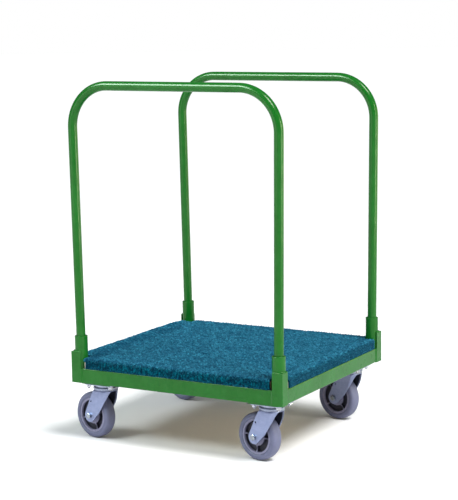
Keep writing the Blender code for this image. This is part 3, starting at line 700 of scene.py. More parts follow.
def build_welds(paint):
    """Beads at each corner: round the socket's foot, along the mitre and round the pad; and the
    ground seams down the post's edges."""
    rail_low, rail_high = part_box("rail_front")
    for number, (corner, (sx, sy)) in enumerate(CORNERS.items()):
        post, pad = "corner_post_" + corner, "caster_pad_" + corner
        low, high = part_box("hoop_socket_" + corner)
        centre = (low + high) / 2
        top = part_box(post)[1].z + 0.0006
        facing = math.atan2(sy, sx)
        sweep = math.radians(74)
        ring = arc(centre, (high.x - low.x) / 2 + 0.0014, facing - sweep, facing + sweep, 24)
        beads = [bead([Vector((x, y, top)) for x, y in ring], SOCKET_BEAD, 40 + number, SOCKET_RIPPLE)]

        # Down the free edge of each leg of the post, in the step between it and the rail.
        edge, face = corner_of(post, sx, sy, inner=True), corner_of(post, sx, sy)
        rail = rail_corner(sx, sy)
        ends = (rail_low.z + 0.0005, rail_high.z - 0.0005)
        for seed, (x, y, along, out, depth) in enumerate((
            (edge.x, face.y, (-sx, 0), (0, sy), abs(face.y - rail.y)),
            (face.x, edge.y, (0, -sy), (sx, 0), abs(face.x - rail.x)),
        )):
            start = Vector((x, y))
            seam = ground_seam(start, Vector(along), Vector(out), depth, ends, 60 + 2 * number + seed)
            beads.append(seam)

        # Round the two outer edges of the caster pad, on the underside of the rails.
        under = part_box(pad)[1].z - 0.0016
        outer, inner = corner_of(pad, sx, sy), corner_of(pad, sx, sy, inner=True)
        for seed, (start, end) in enumerate((
            ((outer.x, inner.y + sy * 0.074), (outer.x, outer.y - sy * 0.008)),
            ((inner.x + sx * 0.030, outer.y), (outer.x - sx * 0.008, outer.y)),
        )):
            line = [Vector((*start, under)), Vector((*end, under))]
            beads.append(bead(line, PAD_BEAD, 80 + 2 * number + seed))

        # Along the mitre of the two lower flanges.
        line = [
            Vector((face.x - sx * away, face.y - sy * away, rail_low.z - 0.0002)) for away in (0.052, 0.007)
        ]
        beads.append(bead(line, MITRE_BEAD, 100 + number, flat=0.55))

        mesh = merged("welds_" + corner, [(part, Matrix()) for part in beads], sharp=70)
        place_piece(mesh, paint, "frame")


# ---------------------------------------------------------------- hoops


def hoop_line(half_x, socket_middle, foot_z, top):
    """Half the hoop's centre line from foot to bar, and which of its points are on the leg and bend."""
    lean = math.atan(HOOP_SPLAY)
    bend_start = top - HOOP_BEND_RADIUS * (1 + math.sin(lean))
    centre = (half_x + HOOP_SPLAY * (bend_start - socket_middle)
              - HOOP_BEND_RADIUS * math.cos(lean), top - HOOP_BEND_RADIUS)
    foot = (half_x + HOOP_SPLAY * (foot_z - socket_middle), foot_z)
    bend = arc(centre, HOOP_BEND_RADIUS, -lean, math.pi / 2, 28)
    leg = [
        (foot[0] + (bend[0][0] - foot[0]) * k / 24, foot[1] + (bend[0][1] - foot[1]) * k / 24)
        for k in range(24)
    ]
    bar = [(centre[0] * (1 - k / 9), top) for k in range(1, 9)]
    return [*leg, *bend, *bar], len(leg), len(bend)


def build_hoops(paint):
    """Bent tube, open at both feet, thinned and widened a little where it was drawn round."""
    socket_low, socket_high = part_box("hoop_socket_front_left")
    middle_x = (socket_low.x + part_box("hoop_socket_front_right")[1].x) / 2
    half_x = middle_x - (socket_low.x + socket_high.x) / 2
    angles = [2 * math.pi * step / 48 for step in range(48)]
    for side in ("front", "back"):
        low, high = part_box("hoop_" + side)
        y = (low.y + high.y) / 2
        top = high.z - TUBE_RADIUS
        half, leg, bend = hoop_line(half_x, (socket_low.z + socket_high.z) / 2, low.z, top)
        path = half + [(0.0, top)] + [(-x, z) for x, z in reversed(half)]
        skins = {TUBE_RADIUS: [], TUBE_RADIUS - TUBE_WALL: []}
        for index, (x, z) in enumerate(path):
            before = Vector(path[max(0, index - 1)])
            after = Vector(path[min(len(path) - 1, index + 1)])
            tangent = (after - before).normalized()
            bent = leg <= min(index, len(path) - 1 - index) < leg + bend
            for radius, rings in skins.items():
                across = radius * (1 - 0.012 * bent)
                off = radius * (1 + 0.008 * bent)
                rings.append([(
                    middle_x + x + tangent.y * across * math.cos(a),
                    y + off * math.sin(a),
                    z - tangent.x * across * math.cos(a),
                ) for a in angles])
        outside, inside = skins.values()
        mesh = loft("hoop_tube_" + side, outside + inside[::-1], along=True)
        even_shading(place_piece(mesh, paint, side + "_hoop", ["hoop_" + side]))


# ---------------------------------------------------------------- deck


def folded(distance, half, radius):
    """Where a point lands that lies this far from the middle of a flat sheet, once the sheet is
    folded down round an edge: (distance out, drop, outward share of the normal, upward share)."""
    side = np.sign(distance)
    far = np.abs(distance)
    flat = half - radius
    bend = math.pi * radius / 2
    angle = np.clip((far - flat) / radius, 0, math.pi / 2)
    out = np.where(far <= flat, far, flat + radius * np.sin(angle))
    drop = np.where(far <= flat, 0.0, radius * (1 - np.cos(angle)))
    drop = drop + np.maximum(far - flat - bend, 0)
    return side * out, drop, side * np.sin(angle), np.cos(angle)


def grid_lines(stops, step):
    """Coordinates from the first stop to the last, with every stop kept and about step between."""
    lines = [stops[0]]
    for start, end in zip(stops, stops[1:]):
        count = max(1, round((end - start) / step))
        lines += [start + (end - start) * k / count for k in range(1, count + 1)]
    return np.array(lines)


class DeckCloth:
    """The carpet's flat cut, a cross of a top and four flaps, and how it folds over the board."""

    def __init__(self, inset, radius, ends, ridge=0.0):
        self.ends, self.radius, self.ridge = ends, radius, ridge
        low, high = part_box("deck_carpet")
        self.middle = (low + high) / 2
        self.half = ((high.x - low.x) / 2 - inset, (high.y - low.y) / 2 - inset)
        self.top = high.z - inset
        self.drop = self.top - low.z
        slack = math.pi * radius / 2 - 2 * radius
        self.reach = tuple(half + slack + self.drop for half in self.half)
        self.fold = tuple(half + slack + CARPET_THICKNESS for half in self.half)

    def lines(self, step):
        spans = zip(self.reach, self.fold, NOTCH, self.ends)
        stops = [(-reach, -fold, -notch, -near, far, notch, fold, reach)
                 for reach, fold, notch, (near, far) in spans]
        return grid_lines(stops[0], step), grid_lines(stops[1], step * math.sqrt(3) / 2)

    def keeps(self, x, y):
        """True where a cell with this middle is part of the cut."""
        beyond_x, beyond_y = abs(x) > self.fold[0], abs(y) > self.fold[1]
        if beyond_x or beyond_y:
            in_x, in_y = (-near < at < far for at, (near, far) in zip((x, y), self.ends))
            return (in_x or beyond_x) and (in_y or beyond_y) and not (beyond_x and beyond_y)
        return not (abs(x) > NOTCH[0] and abs(y) > NOTCH[1])

    def cells(self, xs, ys):
        """Rows and columns of the grid's cells that are part of the cut."""
        for row in range(len(ys) - 1):
            y = (ys[row] + ys[row + 1]) / 2
            for column in range(len(xs) - 1):
                if self.keeps((xs[column] + xs[column + 1]) / 2, y):
                    yield row, column

    def area(self):
        xs, ys = self.lines(0.004)
        wide, deep = np.diff(xs), np.diff(ys)
        return float(sum(wide[column] * deep[row] for row, column in self.cells(xs, ys)))

    def lift(self, x, y):
        """How far the cloth stands off the board along its left fold, where it was never pressed."""
        across = 0.5 + 0.5 * np.cos(math.pi * np.clip((x + self.half[0]) / RIDGE_WIDTH, 0, 1))
        ends = np.clip((y + self.half[1]) / 0.022, 0, 1) * np.clip((self.half[1] - y) / 0.15, 0, 1)
        return self.ridge * across * np.sin(ends * math.pi / 2)

    def lay(self, x, y, height, lifted=True):
        """World points of flat places x, y, raised by height along the cloth's normal."""
        out_x, drop_x, normal_x, up_x = folded(x, self.half[0], self.radius)
        out_y, drop_y, normal_y, up_y = folded(y, self.half[1], self.radius)
        up = np.minimum(up_x, up_y)
        rise = self.lift(x, y) * (1 - np.clip(drop_x / self.drop, 0, 1)) if lifted else 0.0
        return np.stack([
            self.middle.x + out_x + normal_x * height,
            self.middle.y + out_y + normal_y * height,
            self.top - drop_x - drop_y + up * height + rise,
        ], axis=1)


def triangle_faces(cloth, xs, ys):
    """Triangles of the cut on a grid whose odd rows are shifted by half a step."""
    across = len(xs)
    faces = []
    for row, column in cloth.cells(xs, ys):
        a = row * across + column
        b, c, d = a + 1, a + across + 1, a + across
        faces += [(a, b, c), (a, c, d)] if row % 2 else [(a, b, d), (b, c, d)]
    return np.array(faces)


def outline_edges(faces):
    """Directed edges that only one face has."""
    size = faces.shape[1]
    edges = np.concatenate([faces[:, [step, (step + 1) % size]] for step in range(size)])
    key = np.sort(edges, axis=1)
    _, index, uses = np.unique(key, axis=0, return_index=True, return_counts=True)
    return edges[index[uses == 1]]


def pile_mesh(name, points, polygons, tip, tone):
    """A mesh that carries how near each point is to a tuft's tip, which the pile's material darkens towards
    the root as painted shade, and how pale its yarn is.
    """
    mesh = bpy.data.meshes.new(name)
    mesh.from_pydata(points.tolist(), [], polygons)
    for key, values in (("tip", tip), ("tone", tone)):
        mesh.attributes.new(key, "FLOAT", "POINT").data.foreach_set("value", values.astype(np.float32))
    mesh.shade_smooth()
    return mesh


def layered_noise(x, y, *layers):
    """Soft noise summed from layers of (weight, cell, seed)."""
    return sum(weight * smooth_noise(x, y, cell, seed) for weight, cell, seed in layers)


def brushed_tone(cloth, rng, x, y, lean_x, lean_y):
    """How pale each tuft is: by its lean, in clumps, and darker in the hollow by the left fold, as painted
    shade.
    """
    clumps = layered_noise(x + 3, y + 3, (0.4, 0.014, 8), (1.5, 0.0065, 9))
    tone = 0.45 + 0.25 * (lean_x - 0.6 * lean_y) + 0.85 * clumps
    # Painted shade in the hollow just inside the left fold.
    hollow_shade = np.exp(-(((x + cloth.half[0] - 0.050) / 0.026) ** 2)) * np.clip((0.30 - y) / 0.1, 0, 1)
    return tone - hollow_shade + 0.66 * rng.normal(0, 1, len(x)).clip(-1.5, 1.5)


def tufted_mesh(cloth):
    """The pile: a folded lattice whose every third point is the tip of a tuft."""
    xs, ys = cloth.lines(TUFT_STEP)
    grid_x, grid_y = (grid.ravel() for grid in np.meshgrid(xs, ys))
    rows, columns = (grid.ravel() for grid in np.indices((len(ys), len(xs))))
    faces = triangle_faces(cloth, xs, ys)
    rim = outline_edges(faces)
    ends, index = np.unique(rim, return_inverse=True)
    on_rim = np.zeros(len(grid_x), bool)
    on_rim[ends] = True

    tips = (columns + rows // 2 + rows) % 3 == 0
    rng = np.random.default_rng(7)
    x = grid_x + np.where(on_rim | (rows % 2 == 0), 0.0, TUFT_STEP / 2)
    y = grid_y.copy()
    jitter = rng.uniform(-1, 1, (3, len(x)))
    lean_x = layered_noise(x + 5, y + 5, (1.0, 0.055, 1), (0.6, 0.020, 2))
    lean_y = layered_noise(x + 5, y + 5, (1.0, 0.055, 3), (0.6, 0.020, 4))
    loose = np.where(on_rim, 0.7, 1.0)
    lean = np.where(tips, TUFT_LEAN, 0.0)
    x += loose * (TUFT_JITTER * jitter[0] + lean * lean_x)
    y += loose * (TUFT_JITTER * jitter[1] + lean * lean_y)
    level = layered_noise(x + 9, y + 9, (0.0006, 0.035, 5), (0.0008, 0.013, 6))
    tall = np.where(tips, TUFT_HEIGHT * (0.72 + 0.38 * jitter[2]), 0.00045 * jitter[2])
    points = cloth.lay(x, y, level + np.where(on_rim, 0.3, 1.0) * tall)
    tone = np.clip(brushed_tone(cloth, rng, x, y, lean_x, lean_y), 0, 1)

    # The cut edge turns in to the backing all round.
    depth = CARPET_THICKNESS - BACKING_THICKNESS - 0.0012
    roots = cloth.lay(grid_x[ends], grid_y[ends], np.full(len(ends), -depth), lifted=False)
    used, order = np.unique(faces, return_inverse=True)
    renumber = np.full(len(x), -1)
    renumber[used] = np.arange(len(used))
    inward = len(used) + index.reshape(-1, 2)
    sides = [(renumber[b], renumber[a], i, j) for (a, b), (i, j) in zip(rim, inward)]
    polygons = [tuple(face) for face in order.reshape(-1, 3)] + sides
    # The turned-in roots at the cut edge get no tip and no tone, so the material paints them darkest, as
    # painted shade.
    dark = np.zeros(len(ends))
    tip = np.clip(0.35 + tall / TUFT_HEIGHT * 0.65, 0, 1)
    tip, tone = (np.concatenate([values[used], dark]) for values in (tip, tone))
    return pile_mesh("carpet_pile", np.concatenate([points[used], roots]), polygons, tip, tone)


def build_carpet(pile, backing):
    """One folded sheet of tufts over a woven backing, with loose ends along its edges."""
    cloth = DeckCloth(0.0016, CARPET_EDGE_RADIUS, FLAP_ENDS, RIDGE_HEIGHT)
    sheet = place_piece(tufted_mesh(cloth), pile, "frame", ["deck_carpet"])
    fringe = build_loose_ends(cloth, carpet_pile("teal_loose_yarn", loose=True))
    base = build_backing(backing)
    cloth.area()


def scattered_ends(cloth, rng):
    """Flat places of the loose ends: many along the folds and cut edges, fewer over the field."""
    side = rng.integers(0, 4, EDGE_ENDS)
    across = rng.uniform(-1, 1, EDGE_ENDS)
    near = np.abs(rng.normal(0, 0.006, EDGE_ENDS))
    below = rng.uniform(0, 1, EDGE_ENDS) < 0.35
    span = [ends[0] - 0.001 for ends in FLAP_ENDS]
    far = [
        np.where(below, reach - near * 0.6, half - 0.001 + near)
        for reach, half in zip(cloth.reach, cloth.half)
    ]
    x = np.where(side % 2 == 0, across * span[0], np.where(side == 1, far[0], -far[0]))
    y = np.where(side % 2 == 1, across * span[1], np.where(side == 0, -far[1], far[1]))
    x = np.concatenate([x, rng.uniform(-span[0], span[0], FIELD_ENDS)])
    return x, np.concatenate([y, rng.uniform(-span[1], span[1], FIELD_ENDS)])


def build_loose_ends(cloth, pile):
    """Thin yarn ends that stand out of the pile, each a bent three-sided spike."""
    rng = np.random.default_rng(11)
    x, y = scattered_ends(cloth, rng)
    count = len(x)
    foot = cloth.lay(x, y, np.full(count, 0.0002))
    out = cloth.lay(x, y, np.full(count, 1.0002)) - foot
    lean = rng.normal(0, 0.55, (count, 3))
    direction = out + lean - out * (lean * out).sum(1, keepdims=True)
    direction /= np.linalg.norm(direction, axis=1, keepdims=True)
    length = rng.uniform(0.0022, 0.0046, count)[:, None]
    beside = np.cross(direction, rng.normal(0, 1, (count, 3)))
    beside /= np.linalg.norm(beside, axis=1, keepdims=True)
    other = np.cross(direction, beside)
    points, tip = [], []
    for level, thick, bend in ((0.0, 0.00055, 0.0), (0.55, 0.00045, 0.25), (1.0, 0.00012, 0.8)):
        centre = foot + direction * length * level + beside * length * bend * level * 0.6
        for angle in (2 * math.pi * step / 3 for step in range(3)):
            points.append(centre + thick * (beside * math.cos(angle) + other * math.sin(angle)))
            # Painted shade: each loose end darkens towards its foot in the pile.
            tip.append(np.full(count, 0.5 + 0.5 * level))
    start = np.arange(count)[:, None] * 9
    sides = [
        (low + a, low + b, low + 3 + b, low + 3 + a)
        for low in (0, 3) for a, b in ((0, 1), (1, 2), (2, 0))
    ]
    faces = [row for side in sides for row in (start + side).tolist()]
    faces += [row for cap in ((2, 1, 0), (6, 7, 8)) for row in (start + cap).tolist()]
    points = np.stack(points, axis=1).reshape(-1, 3)
    tone = np.repeat(rng.uniform(0.3, 1.0, count), 9)
    mesh = pile_mesh("carpet_loose_ends", points, faces, np.stack(tip, axis=1).ravel(), tone)
    return place_piece(mesh, pile, "frame")


def build_backing(backing):
    """The carpet's woven backing: a thin closed shell between the pile and the board."""
    cloth = DeckCloth(CARPET_THICKNESS - BACKING_THICKNESS, 0.002, BACKING_ENDS)
    xs, ys = cloth.lines(0.03)
    x, y = (grid.ravel() for grid in np.meshgrid(xs, ys))
    count, across = len(x), len(xs)
    depths = (0.0, GAP / 2 - BACKING_THICKNESS)
    points = np.concatenate([cloth.lay(x, y, np.full(count, depth)) for depth in depths])
    corners = [row * across + column for row, column in cloth.cells(xs, ys)]
    cells = np.array([(a, a + 1, a + across + 1, a + across) for a in corners])
    sides = [(b, a, count + a, count + b) for a, b in outline_edges(cells)]
    faces = np.concatenate([cells, count + cells[:, ::-1], sides])
    used, order = np.unique(faces, return_inverse=True)
    mesh = mesh_from("carpet_backing", points[used], order.reshape(-1, 4))
    return place_piece(mesh, backing, "frame")


def finish_board(material):
    """The board is the CAD's own, with a finish and eased edges."""
    obj = frame["nodes"]["deck_board"]
    obj.data.materials.clear()
    obj.data.materials.append(material)
    obj.modifiers.new("weld", "WELD").merge_threshold = 0.00001
    bevelled(obj, 0.0005, 50)
    even_shading(obj)


# ---------------------------------------------------------------- fasteners


def hexagon(across, height, bore=0.0):
    """Hexagon head or nut from Z = 0 up, chamfered on top, on a thin washer face."""
    steps = 48
    washer = 0.0004
    inner = across / 2 * 0.94
    slope = math.tan(math.radians(28))
    rings = []
    for step in range(steps):
        angle = 2 * math.pi * step / steps
        within = (angle + math.pi / 6) % (math.pi / 3) - math.pi / 6
        radius = across / 2 / math.cos(within) - 0.0001
        shoulder = height - (radius - inner) * slope
        profile = [
            (bore, 0), (inner, 0), (inner, washer), (radius - 0.0002, washer), (radius, washer + 0.0003),
            (radius, shoulder - 0.0002), (radius - 0.0003, shoulder),
            (inner, height), (bore + (0.0006 if bore else 0), height),
        ]
        if bore:
            profile.append((bore, height - 0.0006))
        rings.append([(r * math.cos(angle), r * math.sin(angle), z) for r, z in profile])
    return loft("hexagon", rings, around=bool(bore), along=True, sharp=32)


def threaded(radius, start, end, pitch=BOLT_PITCH):
    """A bolt's shank from start to end, its last stretch threaded, with a chamfered tip."""
    profile = [(0, start), (radius, start)]
    turns = int(abs(end - start) / pitch)
    step = math.copysign(pitch, end - start)
    for turn in range(min(turns, 9), 0, -1):
        at = end - step * (turn + 0.4)
        if (at - start) * step > 0:
            profile += [(radius, at), (radius - THREAD_DEPTH, at + step / 2)]
    profile += [(radius, end - step * 0.5), (radius - 0.0007, end), (0, end)]
    return turned("shank", profile, 24, closed=False, sharp=75)


def build_mounting_bolts(bright):
    """Hexagon bolts down through rail or pad and top plate, with washers and nuts underneath."""
    flip = turned_by(math.pi, "X")
    flange_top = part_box("rail_front")[0].z + WALL
    bore = BOLT_RADIUS + BOLT_PLAY
    head = hexagon(BOLT_HEX, BOLT_HEAD_HEIGHT)
    nut = hexagon(BOLT_HEX, BOLT_NUT_HEIGHT, bore)
    washer = turned("washer", rounded([
        (WASHER_RADIUS, 0, 0.0002), (WASHER_RADIUS, WASHER_THICKNESS, 0.0002),
        (bore, WASHER_THICKNESS, 0), (bore, 0, 0),
    ], 2), 32)
    for corner, (sx, sy) in CORNERS.items():
        pad_low, pad_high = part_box("caster_pad_" + corner)
        centre = (pad_low + pad_high) / 2
        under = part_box("top_plate_" + corner)[1].z - PLATE_THICKNESS
        nut_top = under - WASHER_THICKNESS - 0.0001
        flange = rail_corner(sx, sy, inner=True)
        bolts, nuts = [], []
        for ux, uy in ((-1, -1), (-1, 1), (1, -1), (1, 1)):
            x = centre.x + ux * BOLT_SPACING[0] / 2
            y = centre.y + uy * BOLT_SPACING[1] / 2
            on_rail = (x - flange.x) * sx > 0 or (y - flange.y) * sy > 0
            seat = flange_top if on_rail else pad_high.z
            turn = turned_by(0.7 * ux + 1.9 * uy + sx, "Z")
            shank = threaded(BOLT_RADIUS, seat + 0.0001, nut_top - BOLT_NUT_HEIGHT - BOLT_TIP)
            bolts += [(head, shifted(x, y, seat + 0.0002) @ turn), (shank, shifted(x, y))]
            nuts.append((nut, shifted(x, y, nut_top) @ flip @ turn))
            nuts.append((washer, shifted(x, y, nut_top + 0.00005)))
        for name, parts in (("mounting_bolts_", bolts), ("mounting_nuts_", nuts)):
            place_piece(merged(name + corner, parts, 32), bright, "frame")


def build_deck_screws(bright):
    """Pan-head screws up through the rails' top flanges into the board."""
    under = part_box("rail_front")[1].z - WALL - GAP / 2
    head = turned("screw", rounded([
        (0.0001, -SCREW_HEAD_HEIGHT, 0), (SCREW_TOP_RADIUS, -SCREW_HEAD_HEIGHT, 0.0012),
        (SCREW_HEAD_RADIUS, 0, 0.0002), (0.0001, 0, 0),
    ], 4), 24)
    spots = []
    for side, axis in (("front", 0), ("back", 0), ("right", 1), ("left", 1)):
        low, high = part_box("rail_" + side)
        for share in (-0.34, 0.0, 0.34):
            place = (low + high) / 2
            place[axis] += share * (high[axis] - low[axis])
            place[1 - axis] += math.copysign(0.006, -place[1 - axis])
            spots.append((head, shifted(place.x, place.y, under)))
    place_piece(merged("deck_screws", spots, 40), bright, "frame")


# ---------------------------------------------------------------- casters


def rounded_rectangle_ring(size, trim, radius, height, count=96):
    """count points round a rounded rectangle trimmed all round, spaced by angle from its centre."""
    half_x, half_y = ((full - trim) / 2 for full in size)
    inner_x, inner_y = half_x - radius, half_y - radius
    ring = []
    for step in range(count):
        angle = 2 * math.pi * step / count
        c, s = math.cos(angle), math.sin(angle)
        reach = min(half_x / max(abs(c), 1e-9), half_y / max(abs(s), 1e-9))
        x, y = reach * c, reach * s
        if abs(x) > inner_x and abs(y) > inner_y:
            corner = Vector((math.copysign(inner_x, x), math.copysign(inner_y, y)))
            along = Vector((c, s)).dot(corner)
            off = corner.length_squared - along * along
            reach = along + math.sqrt(max(0.0, radius * radius - off))
            x, y = reach * c, reach * s
        ring.append((x, y, height))
    return ring


def circle_ring(radius, height, count=96):
    return [(x, y, height) for x, y in arc((0, 0), radius, 0, 2 * math.pi, count)[:count]]


def plate_mesh(name, size, radius, thickness, boss=None, bore=0.0065):
    """A flat plate from Z = 0 down, edges eased, with an optional turned boss underneath."""
    ease = 0.0007
    rings = [circle_ring(bore, 0)]
    for trim, corner, height in (
        (2.0, radius - ease, 0), (0.6, radius, -0.3 * ease), (0, radius, -ease),
        (0, radius, ease - thickness), (0.6, radius, 0.3 * ease - thickness),
        (2.0, radius - ease, -thickness),
    ):
        rings.append(rounded_rectangle_ring(size, trim * ease, corner, height))
    bottom = -thickness
    if boss:
        boss_radius, bottom = boss
        fillet, edge = 0.0030, 0.0012
        root = arc((boss_radius + fillet, -thickness - fillet), fillet, math.pi / 2, math.pi, 5)
        foot = arc((boss_radius - edge, bottom + edge), edge, 0, -math.pi / 2, 3)
        rings += [circle_ring(x, y) for x, y in root + foot]
    return loft(name, [*rings, circle_ring(bore, bottom)], along=True)


def line_at(points, height):
    """Distance back along the trail at this height, on a line of (distance, height) points."""
    heights = [z for _, z in points]
    return float(np.interp(height, heights, [x for x, _ in points]))


def tangent_angle(centre, radius, point, side):
    dx, dy = point[0] - centre[0], point[1] - centre[1]
    return math.atan2(dy, dx) + side * math.acos(radius / math.hypot(dx, dy))


def resampled(points, count):
    line = np.array(points)
    spans = np.concatenate([[0], np.cumsum(np.linalg.norm(np.diff(line, axis=0), axis=1))])
    at = np.linspace(0, spans[-1], count)
    return np.stack([np.interp(at, spans, line[:, 0]), np.interp(at, spans, line[:, 1])], axis=1)


def turned_in(width, z, bend):
    """A half width at height z, drawn in where the pressing bends over to its crown."""
    rise = max(0.0, z - (NOSE_TOP[1] - bend))
    return width - (bend - math.sqrt(max(0.0, bend**2 - rise**2)))


def nose_half_width(z):
    taper = (NOSE_TOP[0] - NOSE_LOW[0]) / (NOSE_TOP[1] - NOSE_LOW[1])
    return turned_in(NOSE_LOW[0] + (z - NOSE_LOW[1]) * taper, z, NOSE_BEND)


def fork_half_width(x, z):
    """Outer half width of the pressing: flat legs that turn in round the tapered nose."""
    flat = turned_in(FORK_HALF, z, FORK_BEND)
    if x >= 0:
        return flat
    round_nose = math.sqrt(max(0.0, nose_half_width(z) ** 2 - x * x))
    soft = 0.0016
    mix = max(0.0, soft - abs(flat - round_nose)) / soft
    return min(flat, round_nose) - mix * mix * soft / 4


def fork_surface(trail):
    """The outside of the fork: one leg from its eye up, the crown, and the other leg."""
    axle = (trail, WHEEL_RADIUS)
    bend_low = NOSE_TOP[1] - FORK_BEND
    low_front, low_rear = math.radians(225), math.radians(-45)
    front_start = tangent_angle(axle, EYE_RADIUS, LEG_FRONT[0], 1) % (2 * math.pi)
    rear_start = tangent_angle(axle, EYE_RADIUS, LEG_REAR[0], -1)
    rows, columns = 34, 22
    edges = []
    for low, start, leg in ((low_front, front_start, LEG_FRONT), (low_rear, rear_start, LEG_REAR)):
        eye = arc(axle, EYE_RADIUS, low, start, 10)
        edges.append(resampled([*eye, *leg[:-1], (line_at(leg, bend_low), bend_low)], rows))
    front, rear = edges
    share = np.linspace(0, 1, columns)
    bottom = np.array(arc(axle, EYE_RADIUS, low_front, low_rear + 2 * math.pi, columns - 1))
    chord = front[0] + share[:, None] * (rear[0] - front[0])
    half = []
    for row in range(rows):
        fade = max(0.0, 1 - row / (rows * 0.45)) ** 2
        line = front[row] + share[:, None] * (rear[row] - front[row]) + fade * (bottom - chord)
        half.append([(x, fork_half_width(x, z), z) for x, z in line])
    for step in range(1, 7):
        z = bend_low + FORK_BEND * math.sin(math.pi / 2 * step / 6)
        start = -nose_half_width(z)
        if z < LEG_FRONT[-1][1]:
            start = max(start, line_at(LEG_FRONT, z))
        line = start + share * (line_at(LEG_REAR, z) - start)
        half.append([(x, fork_half_width(x, z), z) for x in line])
    crown = [[(x, y * (1 - step / 4), z) for x, y, z in half[-1]] for step in range(1, 8)]
    other = [[(x, -y, z) for x, y, z in row] for row in reversed(half)]
    return loft("fork_pressing", half + crown + other, around=False, caps=False, sharp=60)


def fork_mesh(trail):
    """The fork's plate: the surface given its thickness, its edges eased and its legs drilled."""
    surface = fork_surface(trail)
    if sum(polygon.normal.z * polygon.area for polygon in surface.polygons) < 0:
        surface.flip_normals()
    obj = link(bpy.data.objects.new("fork_guide", surface))
    plate = obj.modifiers.new("plate", "SOLIDIFY")
    plate.thickness = FORK_WALL
    plate.offset = -1
    plate.use_even_offset = True
    bevelled(obj, 0.0007, 55, clamp=False)
    reach = 0.05
    drill = link(bpy.data.objects.new("drill", turned("drill", [
        (0, -reach), (LEG_HOLE_RADIUS, -reach), (LEG_HOLE_RADIUS, reach), (0, reach),
    ], 24, closed=False)))
    drill.matrix_world = shifted(LEG_HOLE_PLACE[0], 0, LEG_HOLE_PLACE[1]) @ turned_by(math.pi / 2, "X")
    hole = obj.modifiers.new("hole", "BOOLEAN")
    hole.operation = "DIFFERENCE"
    hole.object = drill
    bpy.context.view_layer.update()
    evaluated = obj.evaluated_get(bpy.context.evaluated_depsgraph_get())
    mesh = bpy.data.meshes.new_from_object(evaluated)
    for guide in (obj, drill):
        bpy.data.objects.remove(guide, do_unlink=True)
    mesh.shade_smooth()
    mesh.set_sharp_from_angle(angle=math.radians(42))
    return mesh


def tyre_mesh():
    """Crowned tread with a fine mould line, soft shoulders and a raised ring on each sidewall."""
    steps = 22
    tread = []
    for step in range(steps + 1):
        across = 0.93 * (1 - 2 * step / steps)
        radius = WHEEL_RADIUS - TREAD_CROWN * across**4
        if step != steps // 2:
            radius -= MOULD_LINE
        tread.append((radius, TREAD_HALF_WIDTH * across))
    upper = rounded([
        (TYRE_SEAT, RIM_HALF_WIDTH + GAP, 0),
        (0.0650, TREAD_HALF_WIDTH - 0.0002, 0.0040),
        (*tread[0], 0),
    ], 3, closed=False)[:-1]
    lower = [(radius, -height) for radius, height in reversed(upper)]
    return turned("moulded_tyre", upper + tread + lower, 120, sharp=38)


def smooth_step(start, end, at):
    """0 below start, 1 above end, and a smooth step between."""
    share = min(1.0, max(0.0, (at - start) / (end - start)))
    return share * share * (3 - 2 * share)


def core_height(radius, off_rib):
    """Half thickness of the wheel core at this radius, off_rib away from a rib's middle."""
    if radius < HUB_RADIUS:
        return HUB_HALF_WIDTH
    step_down = smooth_step(HUB_RADIUS, HUB_RADIUS + 0.0009, radius)
    disc = HUB_HALF_WIDTH + (HUB_DISC_HALF_WIDTH - HUB_HALF_WIDTH) * step_down
    web = WEB_HALF_WIDTH + 0.0015 * smooth_step(0.040, RIM_OPENING, radius)
    height = disc + (web - disc) * smooth_step(HUB_DISC_RADIUS - 0.0003, HUB_DISC_RADIUS + 0.0016, radius)
    if radius > HUB_DISC_RADIUS - 0.0003:
        share = min(1, max(0, (radius - HUB_DISC_RADIUS) / (RIM_OPENING - HUB_DISC_RADIUS)))
        rib = RIB_HALF_WIDTH - 0.0045 * math.sin(math.pi * share)
        side = 1 - smooth_step(RIB_HALF_THICKNESS - 0.0003, RIB_HALF_THICKNESS + 0.0010, off_rib)
        height = max(height, web + (rib - web) * side)
    rim = smooth_step(RIM_OPENING - 0.0022, RIM_OPENING + 0.0002, radius)
    return max(height, web + (RIM_HALF_WIDTH - web) * rim)


def core_mesh():
    """Rim, thin web, hub and straight ribs as one skin, with columns that follow the ribs' sides."""
    ease = 0.0006
    radii = [HUB_BORE, HUB_BORE + ease, HUB_RADIUS - 0.0005, HUB_RADIUS]
    radii += [HUB_RADIUS + 0.0003 * k for k in (1, 2, 3)] + [0.0225, 0.0260, 0.0295]
    radii += [HUB_DISC_RADIUS + 0.0004 * k for k in range(-1, 5)]
    radii += [0.034, 0.0375, 0.041, 0.0445, 0.048]
    radii += [RIM_OPENING - 0.0028 + 0.0005 * k for k in range(7)] + [0.0548, 0.0572]
    radii += [RIM_RADIUS - ease, RIM_RADIUS]
    offsets = [0.0, 0.0012, 0.0020, 0.0024, 0.0028, 0.0032, 0.0036]
    pocket_steps = 16
    quarter = 2 * math.pi / RIB_COUNT
    columns = []
    for rib in range(RIB_COUNT):
        columns += [(rib, offset, 0) for offset in offsets]
        columns += [(rib, offsets[-1], step / pocket_steps) for step in range(1, pocket_steps)]
        columns += [(rib + 1, -offset, 0) for offset in reversed(offsets[1:])]
    rings = []
    for rib, offset, share in columns:
        off_rib = RIB_HALF_THICKNESS * 3 if share else abs(offset)
        ring = []
        for radius in radii:
            edge = math.asin(offset / radius)
            angle = rib * quarter + edge + share * (quarter - 2 * edge)
            height = core_height(radius, off_rib)
            if radius in (HUB_BORE, RIM_RADIUS):
                height -= ease
            ring.append((radius * math.cos(angle), radius * math.sin(angle), height))
        rings.append(ring + [(x, y, -z) for x, y, z in reversed(ring)])
    return loft("moulded_core", rings, along=True, sharp=50)


def tube_mesh(name, outer, inner, half_length):
    """A short sleeve with eased edges, centred on its own Z."""
    return turned(name, rounded([
        (inner, -half_length, 0.0003), (outer, -half_length, 0.0006),
        (outer, half_length, 0.0006), (inner, half_length, 0.0003),
    ], 3), 72)


